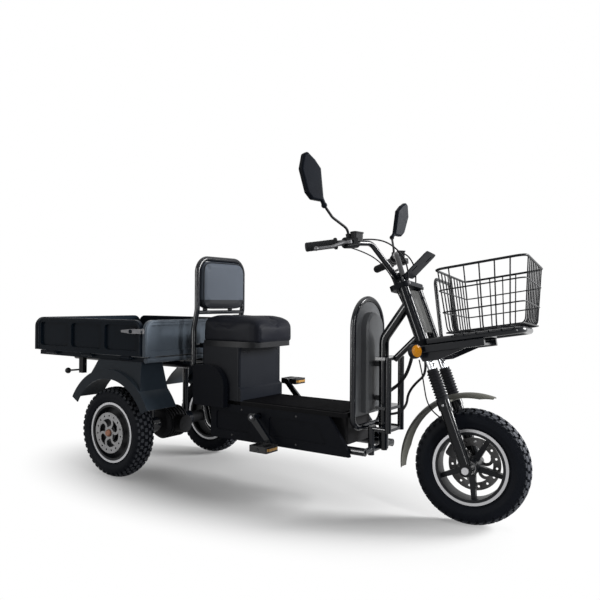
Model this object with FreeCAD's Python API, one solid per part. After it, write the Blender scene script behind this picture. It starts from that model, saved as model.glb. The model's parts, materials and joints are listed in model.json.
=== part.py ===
import FreeCAD, Part
import os
from math import cos, pi, radians, sin, tan

V = FreeCAD.Vector
ALONG_X = V(1, 0, 0)
ALONG_Y = V(0, 1, 0)
ALONG_Z = V(0, 0, 1)

# Stance. Sizes are in millimetres, X forward from the front axle, Y left, Z up from the ground.
WHEELBASE = 1610.0
REAR_TRACK = 666.0
FRONT_AXLE_X = 996.0
RUNNING_GAP = 0.05

# Wheels on 10-inch rims
FRONT_TYRE_RADIUS = 217.0
REAR_TYRE_RADIUS = 212.0
FRONT_TYRE_WIDTH = 100.0
REAR_TYRE_WIDTH = 104.0
BEAD_SEAT_RADIUS = 126.0
RIM_FLANGE_RADIUS = 141.0
RIM_HALF_WIDTH = 41.0
RIM_FLANGE = 5.0
BARREL_INSIDE_RADIUS = 120.0
FRONT_AXLE_RADIUS = 7.5
FRONT_SPOKES = 5
REAR_SHAFT_RADIUS = 12.0
FRONT_DISC_RADIUS = 100.0
REAR_DISC_RADIUS = 95.0

# Steering head and telescopic fork, measured along the raked steering axis from the axle's level
RAKE = 21.15
LEG_OFFSET = 26.0
PARKED_STEER = 9.5
LEG_SIDE = 95.0
STANCHION_RADIUS = 15.0
STANCHION_FOOT = 120.0
LOWER_LEG_RADIUS = 22.0
LOWER_LEG_TOP = 262.0
LEG_COLLAR = 34.0
BOOT_TOP = 385.0
CROWN_CHEEK = 24.0
LOWER_CROWN = 455.0
LOWER_CROWN_TOP = 500.0
UPPER_CROWN = 716.0
UPPER_CROWN_TOP = 736.0
CLAMP_TOP = 790.0
FORK_COVER_RADIUS = 21.0
HEAD_TUBE_RADIUS = 24.0
STEERER_RADIUS = 14.0

# Handlebar, right half: clamp, riser bend, grip bend and bar end
BAR_RADIUS = 11.0
BAR_BEND = 45.0
BAR_CLAMP = V(-303, 0, 930)
BAR_CLAMP_END = V(-303, -50, 930)
BAR_RISE = V(-375, -160, 1052)
BAR_GRIP_BEND = V(-435, -309, 1034)
BAR_END = V(-540, -387, 1010)
GRIP_LENGTH = 112.0
GRIP_RADIUS = 17.0
MIRROR_BALL = V(-474, -395, 1160)
RIGHT_MIRROR_TURN = -28.0
LEFT_MIRROR_TURN = 17.5

# Front rack and wire basket, both tipped up towards the front
RACK_FOOT = V(-204, 0, 638)
RACK_TILT = 9.4
RACK_RAIL_LENGTH = 268.0
RACK_LENGTH = 403.0
RACK_SIDE = 128.0
RACK_BAR_RADIUS = 12.5
RACK_BAR_HEIGHT = 32.0
BASKET_START = 150.0
BASKET_FLOOR_LENGTH = 276.0
BASKET_RIM_LENGTH = 322.0
BASKET_FLOOR_HALF = 226.0
BASKET_RIM_HALF = 258.0
BASKET_DEPTH = 236.0
BASKET_WIRE = 4.0

# Step-through floor and its frame
MAST_X = -374.0
MAST_RADIUS = 20.0
LADDER_X = -325.0
LADDER_SIDE = 57.0
LADDER_RADIUS = 13.0
LADDER_FOOT = 310.0
LADDER_TOP = 612.0
POST_X = -400.0
POST_FOOT = 215.0
LINK_Z = 322.0
FLOOR_FRONT = -468.0
FLOOR_REAR = -1010.0
FLOOR_TOP = 386.0
FLOOR_THICK = 18.0
FLOOR_HALF = 150.0
RAIL_SIDE = 118.0
RAIL_RADIUS = 16.0
RAIL_LOW = 236.0
RAIL_HIGH = 525.0
SHIELD_X = -450.0
SHIELD_HALF = 122.0
SHIELD_TUBE = 12.0

# Pedal crank
CRANK_X = -903.0
CRANK_Z = 334.0
CRANK_RADIUS = 9.0
CRANK_ARM = V(104, 0, -109)
CRANK_SIDE = 198.0
PEDAL_SIDE = 252.0

# Seat and backrest
SEAT_BOX_FRONT = -1013.0
SEAT_BOX_REAR = -1240.0
SEAT_BOX_HALF = 155.0
SEAT_BOX_TOP = 640.0
SEAT_HINGE = V(-1000, 0, 632)
SEAT_TIP = -925.0
SEAT_BACK = -1246.0
BACKREST_HALF = 163.0
BACKREST_TOP = 1032.0
HOOP_FOOT = V(-1285, 0, 519)

# Cargo bed
BED_FRONT = -1428.0
BED_REAR = -2222.0
BED_HALF = 334.0
BED_TOP = 570.0
BED_UNDER = 548.0
PANEL_TOP = 742.0
PANEL_FOOT = 574.0
PANEL_THICK = 18.0
PANEL_CORNER = 48.0
HINGE_RADIUS = 8.0
HINGE_PIN = 4.0
HINGE_DROP = 10.0
LATCH_Z = 690.0
LATCH_X = BED_FRONT - 62
LATCH_FACE = -BED_HALF - 2 - PANEL_THICK

# Rear fenders
FENDER_RADIUS = 296.0
FENDER_SHEET = 4.0
FENDER_OUTER = 396.0
FENDER_INNER = 215.0

TILT = radians(RAKE)
AXIS_UP = V(-sin(TILT), 0, cos(TILT))
AXIS_FORWARD = V(cos(TILT), 0, sin(TILT))
FRONT_AXLE = V(0, 0, FRONT_TYRE_RADIUS)
REAR_AXLE = V(-WHEELBASE, 0, REAR_TYRE_RADIUS)
AXIS_FOOT = FRONT_AXLE - AXIS_FORWARD * LEG_OFFSET

os.makedirs("parts", exist_ok=True)


# Shared shapes

def box(x0, x1, y0, y1, z0, z1):
    return Part.makeBox(x1 - x0, y1 - y0, z1 - z0, V(x0, y0, z0))


def rod(start, end, radius):
    return Part.makeCylinder(radius, (end - start).Length, start, end - start)


def line(start, end):
    return Part.LineSegment(start, end).toShape()


def arc(start, middle, end):
    return Part.Arc(start, middle, end).toShape()


def joined(shapes):
    whole = shapes[0].multiFuse(shapes[1:]) if len(shapes) > 1 else shapes[0]
    return whole.removeSplitter()


def left_of(shape):
    """The same piece on the other side of the centre plane."""
    return shape.mirror(V(), ALONG_Y)


def both_sides(shape):
    return Part.makeCompound([shape, left_of(shape)])


def slab(points, depth):
    outline = Part.makePolygon(points + points[:1])
    return Part.Face(outline).extrude(depth)


def softened(shape, direction, radius, wanted=lambda middle: True):
    """Round the straight edges that run along one direction."""
    edges = []
    for edge in shape.Edges:
        straight = edge.Curve.TypeId == "Part::GeomLine"
        if straight and abs(edge.Curve.Direction.dot(direction)) > 0.99 and wanted(edge.CenterOfMass):
            edges.append(edge)
    return shape.makeFillet(radius, edges)


def bent_wire(points, bend):
    """Straight runs joined by arcs of one bend radius."""
    edges = []
    start = points[0]
    for before, corner, after in zip(points, points[1:], points[2:]):
        inward = (before - corner).normalize()
        outward = (after - corner).normalize()
        half_turn = (pi - inward.getAngle(outward)) / 2
        setback = bend * tan(half_turn)
        middle = (inward + outward).normalize()
        arc_start = corner + inward * setback
        arc_end = corner + outward * setback
        arc_middle = corner + middle * (bend / cos(half_turn) - bend)
        edges.append(line(start, arc_start))
        edges.append(arc(arc_start, arc_middle, arc_end))
        start = arc_end
    edges.append(line(start, points[-1]))
    return Part.Wire(edges)


def bent_tube(points, radius, bend):
    path = bent_wire(points, bend)
    ring = Part.Wire(Part.Circle(points[0], points[1] - points[0], radius).toShape())
    return path.makePipeShell([ring], True, False)


def turned(profile):
    """Revolve (radius, side) pairs about the Y axis."""
    points = [V(0, side, radius) for radius, side in profile]
    return Part.Face(Part.makePolygon(points + points[:1])).revolve(V(), ALONG_Y, 360)


def moved(shape, offset):
    return shape.translated(offset)


def spun(shape, centre, direction, angle):
    return shape.rotated(centre, direction, angle)


def fork_point(forward, side, along):
    return AXIS_FOOT + AXIS_FORWARD * forward + ALONG_Y * side + AXIS_UP * along


def fork_block(forward0, forward1, side0, side1, along0, along1):
    """A block set square to the raked steering axis."""
    block = box(forward0, forward1, side0, side1, along0, along1)
    return moved(spun(block, V(), ALONG_Y, -RAKE), AXIS_FOOT)


def save(name, shape):
    moved(shape, V(FRONT_AXLE_X, 0, 0)).exportStep("parts/" + name + ".step")


def save_steered(name, shape):
    """Pieces that turn with the fork are shown parked a little to the left."""
    save(name, spun(shape, AXIS_FOOT, AXIS_UP, PARKED_STEER))


# Wheels

def tyre(radius, width):
    half = width / 2
    bead = RIM_HALF_WIDTH - RIM_FLANGE - 0.5
    shoulder = half - 6
    shoulder_radius = radius - 14
    bulge_radius = (RIM_FLANGE_RADIUS + shoulder_radius) / 2

    def at(side, distance):
        return V(0, side, distance)

    edges = [
        line(at(-bead, BEAD_SEAT_RADIUS), at(-bead, RIM_FLANGE_RADIUS)),
        arc(at(-bead, RIM_FLANGE_RADIUS), at(-half, bulge_radius), at(-shoulder, shoulder_radius)),
        arc(at(-shoulder, shoulder_radius), at(0, radius), at(shoulder, shoulder_radius)),
        arc(at(shoulder, shoulder_radius), at(half, bulge_radius), at(bead, RIM_FLANGE_RADIUS)),
        line(at(bead, RIM_FLANGE_RADIUS), at(bead, BEAD_SEAT_RADIUS)),
        line(at(bead, BEAD_SEAT_RADIUS), at(-bead, BEAD_SEAT_RADIUS)),
    ]
    return Part.Face(Part.Wire(edges)).revolve(V(), ALONG_Y, 360)


def barrel_outline(inside):
    """Drop-centre rim from the inside of one flange round to the inside of the other."""
    flange_side = RIM_HALF_WIDTH - RIM_FLANGE
    return [
        (inside, -RIM_HALF_WIDTH), (RIM_FLANGE_RADIUS, -RIM_HALF_WIDTH),
        (RIM_FLANGE_RADIUS, -flange_side), (BEAD_SEAT_RADIUS, -flange_side),
        (BEAD_SEAT_RADIUS, flange_side), (RIM_FLANGE_RADIUS, flange_side),
        (RIM_FLANGE_RADIUS, RIM_HALF_WIDTH), (inside, RIM_HALF_WIDTH),
    ]


def washer(outer, inner, thickness):
    return turned([(inner, 0), (outer, 0), (outer, thickness), (inner, thickness)])


def brake_disc(outer, ring, hub, bore, arms, holes):
    """Perforated ring on swept arms, standing on the plane Y = 0."""
    thickness = 4.0
    arm_width = 12.0
    reach = (hub + ring) / 2
    sweep = (ring - hub) / 2 + 3
    hoop = moved(washer(sweep + arm_width / 2, sweep - arm_width / 2, thickness), V(0, 0, reach))
    arm = hoop.common(box(0, outer, 0, thickness, -outer, outer))
    pieces = [washer(outer, ring, thickness), washer(hub, bore, thickness)]
    pieces += [spun(arm, V(), ALONG_Y, 360 * turn / arms) for turn in range(arms)]
    disc = joined(pieces)
    hole = rod(V(0, -1, (outer + ring) / 2), V(0, thickness + 1, (outer + ring) / 2), 4.5)
    return disc.cut([spun(hole, V(), ALONG_Y, 360 * turn / holes) for turn in range(holes)])


def front_wheel():
    hub_half = 46.0
    hub_radius = 32.0
    barrel = turned(barrel_outline(BARREL_INSIDE_RADIUS))
    bore_radius = FRONT_AXLE_RADIUS + RUNNING_GAP
    hub = turned([
        (bore_radius, -hub_half), (hub_radius - 8, -hub_half), (hub_radius, -hub_half + 20),
        (hub_radius, hub_half), (bore_radius, hub_half),
    ])
    spoke = slab([V(-12, -14, 26), V(12, -14, 26), V(8, -14, 124), V(-8, -14, 124)], V(0, 28, 0))
    spokes = [spun(spoke, V(), ALONG_Y, 31 + 360 * turn / FRONT_SPOKES) for turn in range(FRONT_SPOKES)]
    bore = rod(V(0, -100, 0), V(0, 100, 0), bore_radius)
    rim = joined([barrel, hub] + spokes).cut(bore)
    disc = moved(brake_disc(FRONT_DISC_RADIUS, 70, 30, FRONT_AXLE_RADIUS + 6, 6, 15), V(0, hub_half, 0))
    save_steered("front_rim", moved(rim, FRONT_AXLE))
    save_steered("front_tyre", moved(tyre(FRONT_TYRE_RADIUS, FRONT_TYRE_WIDTH), FRONT_AXLE))
    save_steered("front_brake_disc", moved(disc, FRONT_AXLE))


def rear_wheels():
    """Deep-dish rims, each on its own half shaft, with the brake disc on the outside."""
    hub_face = 48.0
    hub_inboard = -45.0
    shaft_inboard = -(REAR_TRACK / 2 - 90)
    web = 8.0
    hub_radius = 40.0
    outline = [
        (0, shaft_inboard), (REAR_SHAFT_RADIUS, shaft_inboard), (REAR_SHAFT_RADIUS, hub_inboard),
        (hub_radius, hub_inboard), (hub_radius, -web),
    ]
    outline += [(BARREL_INSIDE_RADIUS, -web - 6)] + barrel_outline(BARREL_INSIDE_RADIUS)
    outline += [
        (BARREL_INSIDE_RADIUS, web - 6), (hub_radius, web), (hub_radius, hub_face), (0, hub_face),
    ]
    wheel_centre = REAR_AXLE + ALONG_Y * (REAR_TRACK / 2)
    nut = turned([(0, 52), (17, 52), (17, 58), (12, 64), (0, 64)])
    disc = moved(brake_disc(REAR_DISC_RADIUS, 66, 28, 6, 6, 15), V(0, hub_face, 0))
    disc = joined([disc, nut, turned([(0, hub_face), (8, hub_face), (8, 54), (0, 54)])])
    for name, piece in (
        ("rim", turned(outline)),
        ("tyre", tyre(REAR_TYRE_RADIUS, REAR_TYRE_WIDTH)),
        ("brake_disc", disc),
    ):
        on_left = moved(piece, wheel_centre)
        save("rear_left_" + name, on_left)
        save("rear_right_" + name, left_of(on_left))


# Fork and front suspension

def lower_leg_tubes():
    """Outer bodies of both sliding legs, each with a thicker collar at its mouth."""
    foot = fork_point(LEG_OFFSET, -LEG_SIDE, -12)
    collar_foot = fork_point(LEG_OFFSET, -LEG_SIDE, LOWER_LEG_TOP - LEG_COLLAR)
    mouth = fork_point(LEG_OFFSET, -LEG_SIDE, LOWER_LEG_TOP)
    leg = joined([rod(foot, mouth, LOWER_LEG_RADIUS), rod(collar_foot, mouth, LOWER_LEG_RADIUS + 3)])
    return [leg, left_of(leg)]


def fork_lower():
    """Sliding legs with their axle, brake caliper and fender."""
    lug_half = 24.0
    leg_top = fork_point(LEG_OFFSET, -LEG_SIDE, LOWER_LEG_TOP)
    inner = V(0, -LEG_SIDE + LOWER_LEG_RADIUS + 2, 0)
    outer = V(0, -LEG_SIDE - LOWER_LEG_RADIUS, 0)
    leg = joined([lower_leg_tubes()[0], rod(FRONT_AXLE + inner, FRONT_AXLE + outer, lug_half)])
    bore_foot = fork_point(LEG_OFFSET, -LEG_SIDE, STANCHION_FOOT - 70)
    leg = leg.cut(rod(bore_foot, leg_top + AXIS_UP, STANCHION_RADIUS + 0.4))
    leg = leg.cut(rod(FRONT_AXLE - ALONG_Y * 150, FRONT_AXLE + ALONG_Y * 150, FRONT_AXLE_RADIUS))
    save_steered("fork_lower_legs", both_sides(leg))

    axle_half = LEG_SIDE + LOWER_LEG_RADIUS
    spacer_inner = 47.0
    spacer_outer = LEG_SIDE - LOWER_LEG_RADIUS - 2.5
    axle = turned([
        (0, -axle_half - 12), (13, -axle_half - 12),
        (13, -axle_half - 0.5), (FRONT_AXLE_RADIUS, -axle_half - 0.5),
        (FRONT_AXLE_RADIUS, -spacer_outer), (12, -spacer_outer), (12, -spacer_inner),
        (FRONT_AXLE_RADIUS, -spacer_inner), (FRONT_AXLE_RADIUS, spacer_inner + 4.5), (12, spacer_inner + 4.5),
        (12, spacer_outer), (FRONT_AXLE_RADIUS, spacer_outer), (FRONT_AXLE_RADIUS, axle_half + 0.5),
        (13, axle_half + 0.5), (13, axle_half + 12), (0, axle_half + 12),
    ])
    save_steered("front_axle", moved(axle, FRONT_AXLE))

    body = box(-24, 24, 26, 72, 68, 113)
    body = softened(body, ALONG_Y, 10)
    slot = box(-40, 40, 44, 52, 40, FRONT_DISC_RADIUS + 4)
    bracket = box(-9, 56, 60, 82, 60, 84)
    caliper = spun(joined([body.cut(slot), bracket]), V(), ALONG_Y, -62)
    save_steered("front_brake_caliper", moved(caliper, FRONT_AXLE).cut(lower_leg_tubes()))

    front_fender()


def front_fender():
    """Crowned blade over the tyre with tapered ends, held by a bridge between the two legs."""
    radius = 276.0
    half = 53.0
    sheet = 3.0
    front_angle = 73.0
    rear_angle = 187.0
    edge_radius = radius - 16

    def arch(lower, distance):
        rim = edge_radius - lower
        return arc(V(rim, -half, 0), V(distance, 0, 0), V(rim, half, 0))

    edges = [
        arch(0, radius),
        line(V(edge_radius, half, 0), V(edge_radius - sheet, half, 0)),
        arch(sheet, radius - sheet),
        line(V(edge_radius - sheet, -half, 0), V(edge_radius, -half, 0)),
    ]
    section = Part.Face(Part.Wire(Part.__sortEdges__(edges)))
    blade = section.revolve(V(), ALONG_Y, -(rear_angle - front_angle))
    blade = spun(blade, V(), ALONG_Y, -front_angle)
    flap_hole = spun(rod(V(200, 0, 0), V(300, 0, 0), 11), V(), ALONG_Y, -158)
    nose_corner = slab([
        V(30, -54, 200), V(95, -24, 200), V(95, -70, 200), V(30, -70, 200),
    ], V(0, 0, 100))
    flap_corner = slab([
        V(-320, -70, -60), V(-320, -24, -60), V(-320, -54, 50), V(-320, -70, 50),
    ], V(120, 0, 0))
    blade = blade.cut([flap_hole, nose_corner, left_of(nose_corner), flap_corner, left_of(flap_corner)])
    bridge = spun(box(250, 257, -LEG_SIDE, LEG_SIDE, -26, 26), V(), ALONG_Y, -(90 + RAKE))
    posts = [
        spun(box(252, 268, side - 5, side + 5, -20, 20), V(), ALONG_Y, -(90 + RAKE))
        for side in (-30, 30)
    ]
    fender = moved(joined([blade, bridge] + posts), FRONT_AXLE)
    save_steered("front_fender", fender.cut(lower_leg_tubes()))


def fork_upper():
    """Crowns, steerer, fixed fork tubes with their covers, and the rubber boots below them."""
    leg = joined([
        rod(fork_point(LEG_OFFSET, -LEG_SIDE, STANCHION_FOOT),
            fork_point(LEG_OFFSET, -LEG_SIDE, UPPER_CROWN_TOP + 8), STANCHION_RADIUS),
        rod(fork_point(LEG_OFFSET, -LEG_SIDE, LOWER_CROWN_TOP),
            fork_point(LEG_OFFSET, -LEG_SIDE, UPPER_CROWN), FORK_COVER_RADIUS),
    ])
    save_steered("fork_tubes", both_sides(leg))

    crown_half = LEG_SIDE + CROWN_CHEEK
    steerer = rod(fork_point(0, 0, LOWER_CROWN), fork_point(0, 0, UPPER_CROWN_TOP), STEERER_RADIUS)
    save_steered("fork_lower_crown", without_legs(joined([lower_crown_block(), steerer])))

    upper = fork_block(-26, 54, -crown_half, crown_half, UPPER_CROWN, UPPER_CROWN_TOP)
    upper = softened(upper, AXIS_UP, 22)
    riser = fork_block(-18, 16, -44, -24, UPPER_CROWN_TOP - 1, CLAMP_TOP)
    riser_bridge = fork_block(-8, 14, -30, 30, CLAMP_TOP - 48, CLAMP_TOP - 30)
    upper = joined([upper, riser, left_of(riser), riser_bridge, accessory_plate()])
    upper = upper.cut(bent_tube(bar_points(), BAR_RADIUS, BAR_BEND))
    upper = upper.cut(rod(fork_point(0, 0, 600), fork_point(0, 0, UPPER_CROWN_TOP), STEERER_RADIUS))
    save_steered("fork_upper_crown", without_legs(upper))

    ribs = 8
    pitch = (BOOT_TOP - LOWER_LEG_TOP) / ribs
    outer = [(19.5, 0)]
    for rib in range(ribs):
        outer += [(24.5, pitch * (rib + 0.5)), (19.5, pitch * (rib + 1))]
    inner = [
        (STANCHION_RADIUS, pitch * ribs), (STANCHION_RADIUS, pitch * (ribs - 0.7)),
        (17, pitch * (ribs - 1)), (17, 0),
    ]
    profile = [V(radius, 0, height) for radius, height in outer + inner]
    boot = Part.Face(Part.makePolygon(profile + profile[:1])).revolve(V(), ALONG_Z, 360)
    boot = spun(boot, V(), ALONG_Y, -RAKE)
    save_steered("fork_boots", both_sides(moved(boot, fork_point(LEG_OFFSET, -LEG_SIDE, LOWER_LEG_TOP))))


def lower_crown_block():
    half = LEG_SIDE + CROWN_CHEEK
    return softened(fork_block(-30, 54, -half, half, LOWER_CROWN, LOWER_CROWN_TOP), AXIS_UP, 22)


def without_legs(crown):
    for side in (-LEG_SIDE, LEG_SIDE):
        low = fork_point(LEG_OFFSET, side, LOWER_CROWN - 50)
        high = fork_point(LEG_OFFSET, side, UPPER_CROWN_TOP + 50)
        crown = crown.cut(rod(low, high, STANCHION_RADIUS))
    return crown


def accessory_plate():
    """Slotted bracket plate that leans forward from the bar clamps."""
    foot = V(-270, 0, 932)
    length = 135.0
    lean = 46.0
    half = 66.0
    plate = softened(box(0, length, -half, half, 0, 4), ALONG_Z, 14)
    slot = softened(box(-16, 16, -6, 6, -1, 5), ALONG_Z, 5.5)
    plate = plate.cut([moved(slot, V(length - 30, 28, 0)), moved(slot, V(48, -28, 0))])
    neck = box(-34, 20, -14, 14, 0, 4)
    return moved(spun(joined([plate, neck]), V(), ALONG_Y, -lean), foot)


# Handlebar and its controls

def bar_points():
    right = [BAR_END, BAR_GRIP_BEND, BAR_RISE, BAR_CLAMP_END]
    left = [V(point.x, -point.y, point.z) for point in reversed(right)]
    return right + left


def sleeve(start, end, outer, inner):
    return rod(start, end, outer).cut(rod(start, end, inner))


def handlebar():
    save_steered("handlebar", bent_tube(bar_points(), BAR_RADIUS, BAR_BEND))

    outward = (BAR_END - BAR_GRIP_BEND).normalize()
    grip_start = BAR_END - outward * GRIP_LENGTH
    grip_end = BAR_END + outward * 1.0
    collar = sleeve(grip_start, grip_start + outward * 8, GRIP_RADIUS + 5, BAR_RADIUS + RUNNING_GAP)
    throttle = sleeve(grip_start, grip_end, GRIP_RADIUS, BAR_RADIUS + RUNNING_GAP)
    cap = rod(grip_end, grip_end + outward * 5, GRIP_RADIUS - 1)
    save_steered("throttle_grip", joined([throttle, collar, cap]))
    fixed = sleeve(grip_start, BAR_END, GRIP_RADIUS, BAR_RADIUS)
    fixed_collar = sleeve(grip_start, grip_start + outward * 8, GRIP_RADIUS + 5, BAR_RADIUS)
    fixed_cap = rod(BAR_END, BAR_END + outward * 6, GRIP_RADIUS - 1)
    save_steered("left_grip", left_of(joined([fixed, fixed_collar, fixed_cap])))

    controls = bar_controls()
    save_steered("bar_controls", both_sides(controls))
    lever = brake_lever()
    save_steered("right_brake_lever", lever)
    save_steered("left_brake_lever", left_of(lever))
    save_steered("right_mirror", mirror_head(RIGHT_MIRROR_TURN))
    save_steered("left_mirror", left_of(mirror_head(LEFT_MIRROR_TURN)))


def lever_frame():
    """Pivot point and directions of the right lever: along the grip, forward of it, and up."""
    outward = (BAR_END - BAR_GRIP_BEND).normalize()
    forward = ALONG_Z.cross(outward).normalize()
    up = outward.cross(forward)
    pivot = BAR_GRIP_BEND - outward * 18 + forward * 38 - up * 4
    return pivot, outward, forward, up


def brake_lever():
    pivot, outward, forward, up = lever_frame()
    reach = forward * 30 - up * 12
    tip = pivot + outward * 134 + reach
    blade = bent_tube([
        pivot - outward * 2, pivot + outward * 26 + forward * 8, pivot + outward * 76 + reach, tip,
    ], 5.5, 40)
    knob = Part.makeSphere(8.5, tip)
    eye = rod(pivot - up * 6, pivot + up * 6, 11)
    return joined([blade, knob, eye]).cut(rod(pivot - up * 20, pivot + up * 20, 4 + RUNNING_GAP))


def bar_controls():
    """Switch housing, brake master cylinder with its reservoir, lever pin and mirror stem."""
    inward = (BAR_RISE - BAR_GRIP_BEND).normalize()
    pivot, outward, forward, up = lever_frame()
    switch = rod(BAR_GRIP_BEND + inward * 16, BAR_GRIP_BEND + inward * 52, 21)
    clamp = rod(BAR_GRIP_BEND + inward * 54, BAR_GRIP_BEND + inward * 80, 19)
    clamp_middle = BAR_GRIP_BEND + inward * 67
    reservoir_seat = clamp_middle + forward * 34 + up * 6
    cylinder = rod(clamp_middle, reservoir_seat, 12)
    perch = rod(reservoir_seat, pivot - outward * 25, 9)
    tank = softened(box(-21, 21, -15, 15, 0, 30), ALONG_Z, 7)
    lid = softened(box(-23, 23, -17, 17, 30, 35), ALONG_Z, 8)
    tank = spun(joined([tank, lid]), V(), ALONG_Z, 60)
    tank = moved(tank, reservoir_seat - up * 4)
    yoke = [box(-32, -14, -9, 9, -12, 12), rod(V(0, 0, -12), V(0, 0, 12), 4)]
    for low in (-12, 6.5):
        yoke += [box(-15, 0, -9, 9, low, low + 5.5), rod(V(0, 0, low), V(0, 0, low + 5.5), 9)]
    yoke = joined(yoke)
    yoke.Placement = FreeCAD.Placement(pivot, FreeCAD.Rotation(outward, forward, up, "ZXY"))
    boss_foot = BAR_GRIP_BEND + inward * 40
    stem = bent_tube([
        boss_foot, boss_foot + V(-6, -8, 52), MIRROR_BALL + V(18, 36, -38), MIRROR_BALL,
    ], 5, 30)
    boss = rod(boss_foot, boss_foot + V(-4, -5, 34), 10)
    ball = Part.makeSphere(7, MIRROR_BALL)
    whole = joined([switch, clamp, cylinder, perch, tank, yoke, stem, boss, ball])
    return whole.cut(bent_tube(bar_points(), BAR_RADIUS, BAR_BEND))


def mirror_head(turn):
    """Diamond mirror hung outward of its ball: flat glass side facing back, rounded shell facing forward."""
    back = -6.0
    front = 14.0
    corners = [
        (-9, 12), (-28, 130), (-56, 157), (-92, 180), (-108, 168), (-117, 114), (-87, 34), (-62, 12),
    ]
    shell = slab([V(back, across, height) for across, height in corners], V(front - back, 0, 0))
    shell = softened(shell, ALONG_X, 9)
    brow = [edge for edge in shell.Edges if edge.BoundBox.XMin > front - 0.1]
    shell = shell.makeFillet(8, brow)
    cup = Part.makeSphere(11, V())
    neck = rod(V(), V(4, -24, 34), 8.5)
    socket = Part.makeSphere(7 + RUNNING_GAP, V())
    head = spun(joined([shell, neck, cup]).cut(socket), V(), ALONG_Z, turn)
    stem_way = Part.makeCone(6, 16, 24, V(), V(18, 36, -38))
    return moved(head.cut(stem_way), MIRROR_BALL)


# Front rack and basket

def on_rack(shape):
    return moved(spun(shape, V(), ALONG_Y, -RACK_TILT), RACK_FOOT)


def rack():
    """Two box rails bolted to the lower crown, a tube loop on top of them and a hoop behind the basket."""
    rail_under = -8.0
    rail = box(0, RACK_RAIL_LENGTH, -RACK_SIDE - 12.5, -RACK_SIDE + 12.5, rail_under, 20)
    rail = softened(rail, ALONG_X, 5)
    gusset_side = -RACK_SIDE + 7
    gusset = slab([
        V(14, gusset_side, rail_under + 1), V(200, gusset_side, rail_under + 1),
        V(90, gusset_side, -40), V(30, gusset_side, -40),
    ], V(0, 5, 0))
    rails = [rail, gusset, left_of(rail), left_of(gusset)]
    loop = bent_tube([
        V(60, -RACK_SIDE, RACK_BAR_HEIGHT), V(RACK_LENGTH, -RACK_SIDE, RACK_BAR_HEIGHT),
        V(RACK_LENGTH, RACK_SIDE, RACK_BAR_HEIGHT), V(60, RACK_SIDE, RACK_BAR_HEIGHT),
    ], RACK_BAR_RADIUS, 45)
    bars = [
        rod(V(distance, -RACK_SIDE, RACK_BAR_HEIGHT), V(distance, RACK_SIDE, RACK_BAR_HEIGHT), 10)
        for distance in (BASKET_START + 8, 270)
    ]
    ties = [
        box(distance - 4, distance + 4, -RACK_SIDE, RACK_SIDE, -4, 4)
        for distance in (150, 250)
    ]
    hoop = bent_tube([
        V(112, -RACK_SIDE + 8, 0), V(112, -RACK_SIDE + 8, 40), V(118, -RACK_SIDE + 8, 262),
        V(118, RACK_SIDE - 8, 262), V(112, RACK_SIDE - 8, 40), V(112, RACK_SIDE - 8, 0),
    ], 7, 30)
    frame = on_rack(joined(rails + bars + ties + [loop, hoop]))
    save_steered("rack", frame.cut(lower_crown_block()))

    body = turned([(0, 0), (10, 0), (10, 8), (22, 8), (27, 14), (27, 26), (0, 26)])
    lens = turned([(0, 26), (27, 26), (25, 33), (14, 37), (0, 38)])
    signal = spun(joined([body, lens]), V(), ALONG_Z, -125)
    stalk = rod(V(8, 28.5, 0), V(8, -2, 0), 6)
    signal = moved(joined([signal, stalk]), V(4, -RACK_SIDE - 41, 0))
    save_steered("front_signals", both_sides(on_rack(signal)))


def net(corners, columns, rows, inward):
    """Flat wire panel: one face with a grid of openings, given thickness."""
    bar = BASKET_WIRE / 2

    def at(u, v):
        low = corners[0] * (1 - u) + corners[1] * u
        high = corners[3] * (1 - u) + corners[2] * u
        return low * (1 - v) + high * v

    wide = (corners[1] - corners[0]).Length
    tall = (corners[3] - corners[0]).Length
    wires = [Part.makePolygon([at(0, 0), at(1, 0), at(1, 1), at(0, 1), at(0, 0)])]
    for column in range(columns):
        for row in range(rows):
            left = column / columns + bar / wide
            right = (column + 1) / columns - bar / wide
            low = row / rows + bar / tall
            high = (row + 1) / rows - bar / tall
            if row == rows - 1:
                high -= bar / tall
            wires.append(Part.makePolygon([
                at(left, low), at(right, low), at(right, high), at(left, high), at(left, low),
            ]))
    return Part.Face(wires).extrude(inward * BASKET_WIRE)


def basket():
    gap = BASKET_WIRE
    side_lean = (BASKET_RIM_HALF - BASKET_FLOOR_HALF) / BASKET_DEPTH
    front_lean = (BASKET_RIM_LENGTH - BASKET_FLOOR_LENGTH) / BASKET_DEPTH

    def placed(shape):
        return on_rack(moved(shape, V(BASKET_START, 0, RACK_BAR_HEIGHT + RACK_BAR_RADIUS)))

    def half_at(height):
        return BASKET_FLOOR_HALF + side_lean * height

    def front_at(height):
        return BASKET_FLOOR_LENGTH + front_lean * height

    floor = [
        V(0, -half_at(0), 0), V(front_at(0), -half_at(0), 0),
        V(front_at(0), half_at(0), 0), V(0, half_at(0), 0),
    ]
    save_steered("basket_floor", placed(net(floor, 6, 9, ALONG_Z)))
    low = gap
    high = BASKET_DEPTH
    right = [
        V(gap, -half_at(low), low), V(front_at(low) - gap, -half_at(low), low),
        V(front_at(high) - gap, -half_at(high), high), V(gap, -half_at(high), high),
    ]
    side = placed(net(right, 6, 3, V(0, 1, 0)))
    save_steered("basket_right", side)
    save_steered("basket_left", left_of(side))
    front = [
        V(front_at(low), -half_at(low), low), V(front_at(low), half_at(low), low),
        V(front_at(high), half_at(high), high), V(front_at(high), -half_at(high), high),
    ]
    save_steered("basket_front", placed(net(front, 10, 3, V(-1, 0, 0))))
    back = [
        V(0, -half_at(low), low), V(0, half_at(low), low),
        V(0, half_at(high), high), V(0, -half_at(high), high),
    ]
    save_steered("basket_back", placed(net(back, 10, 3, V(1, 0, 0))))


# Main frame

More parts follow.
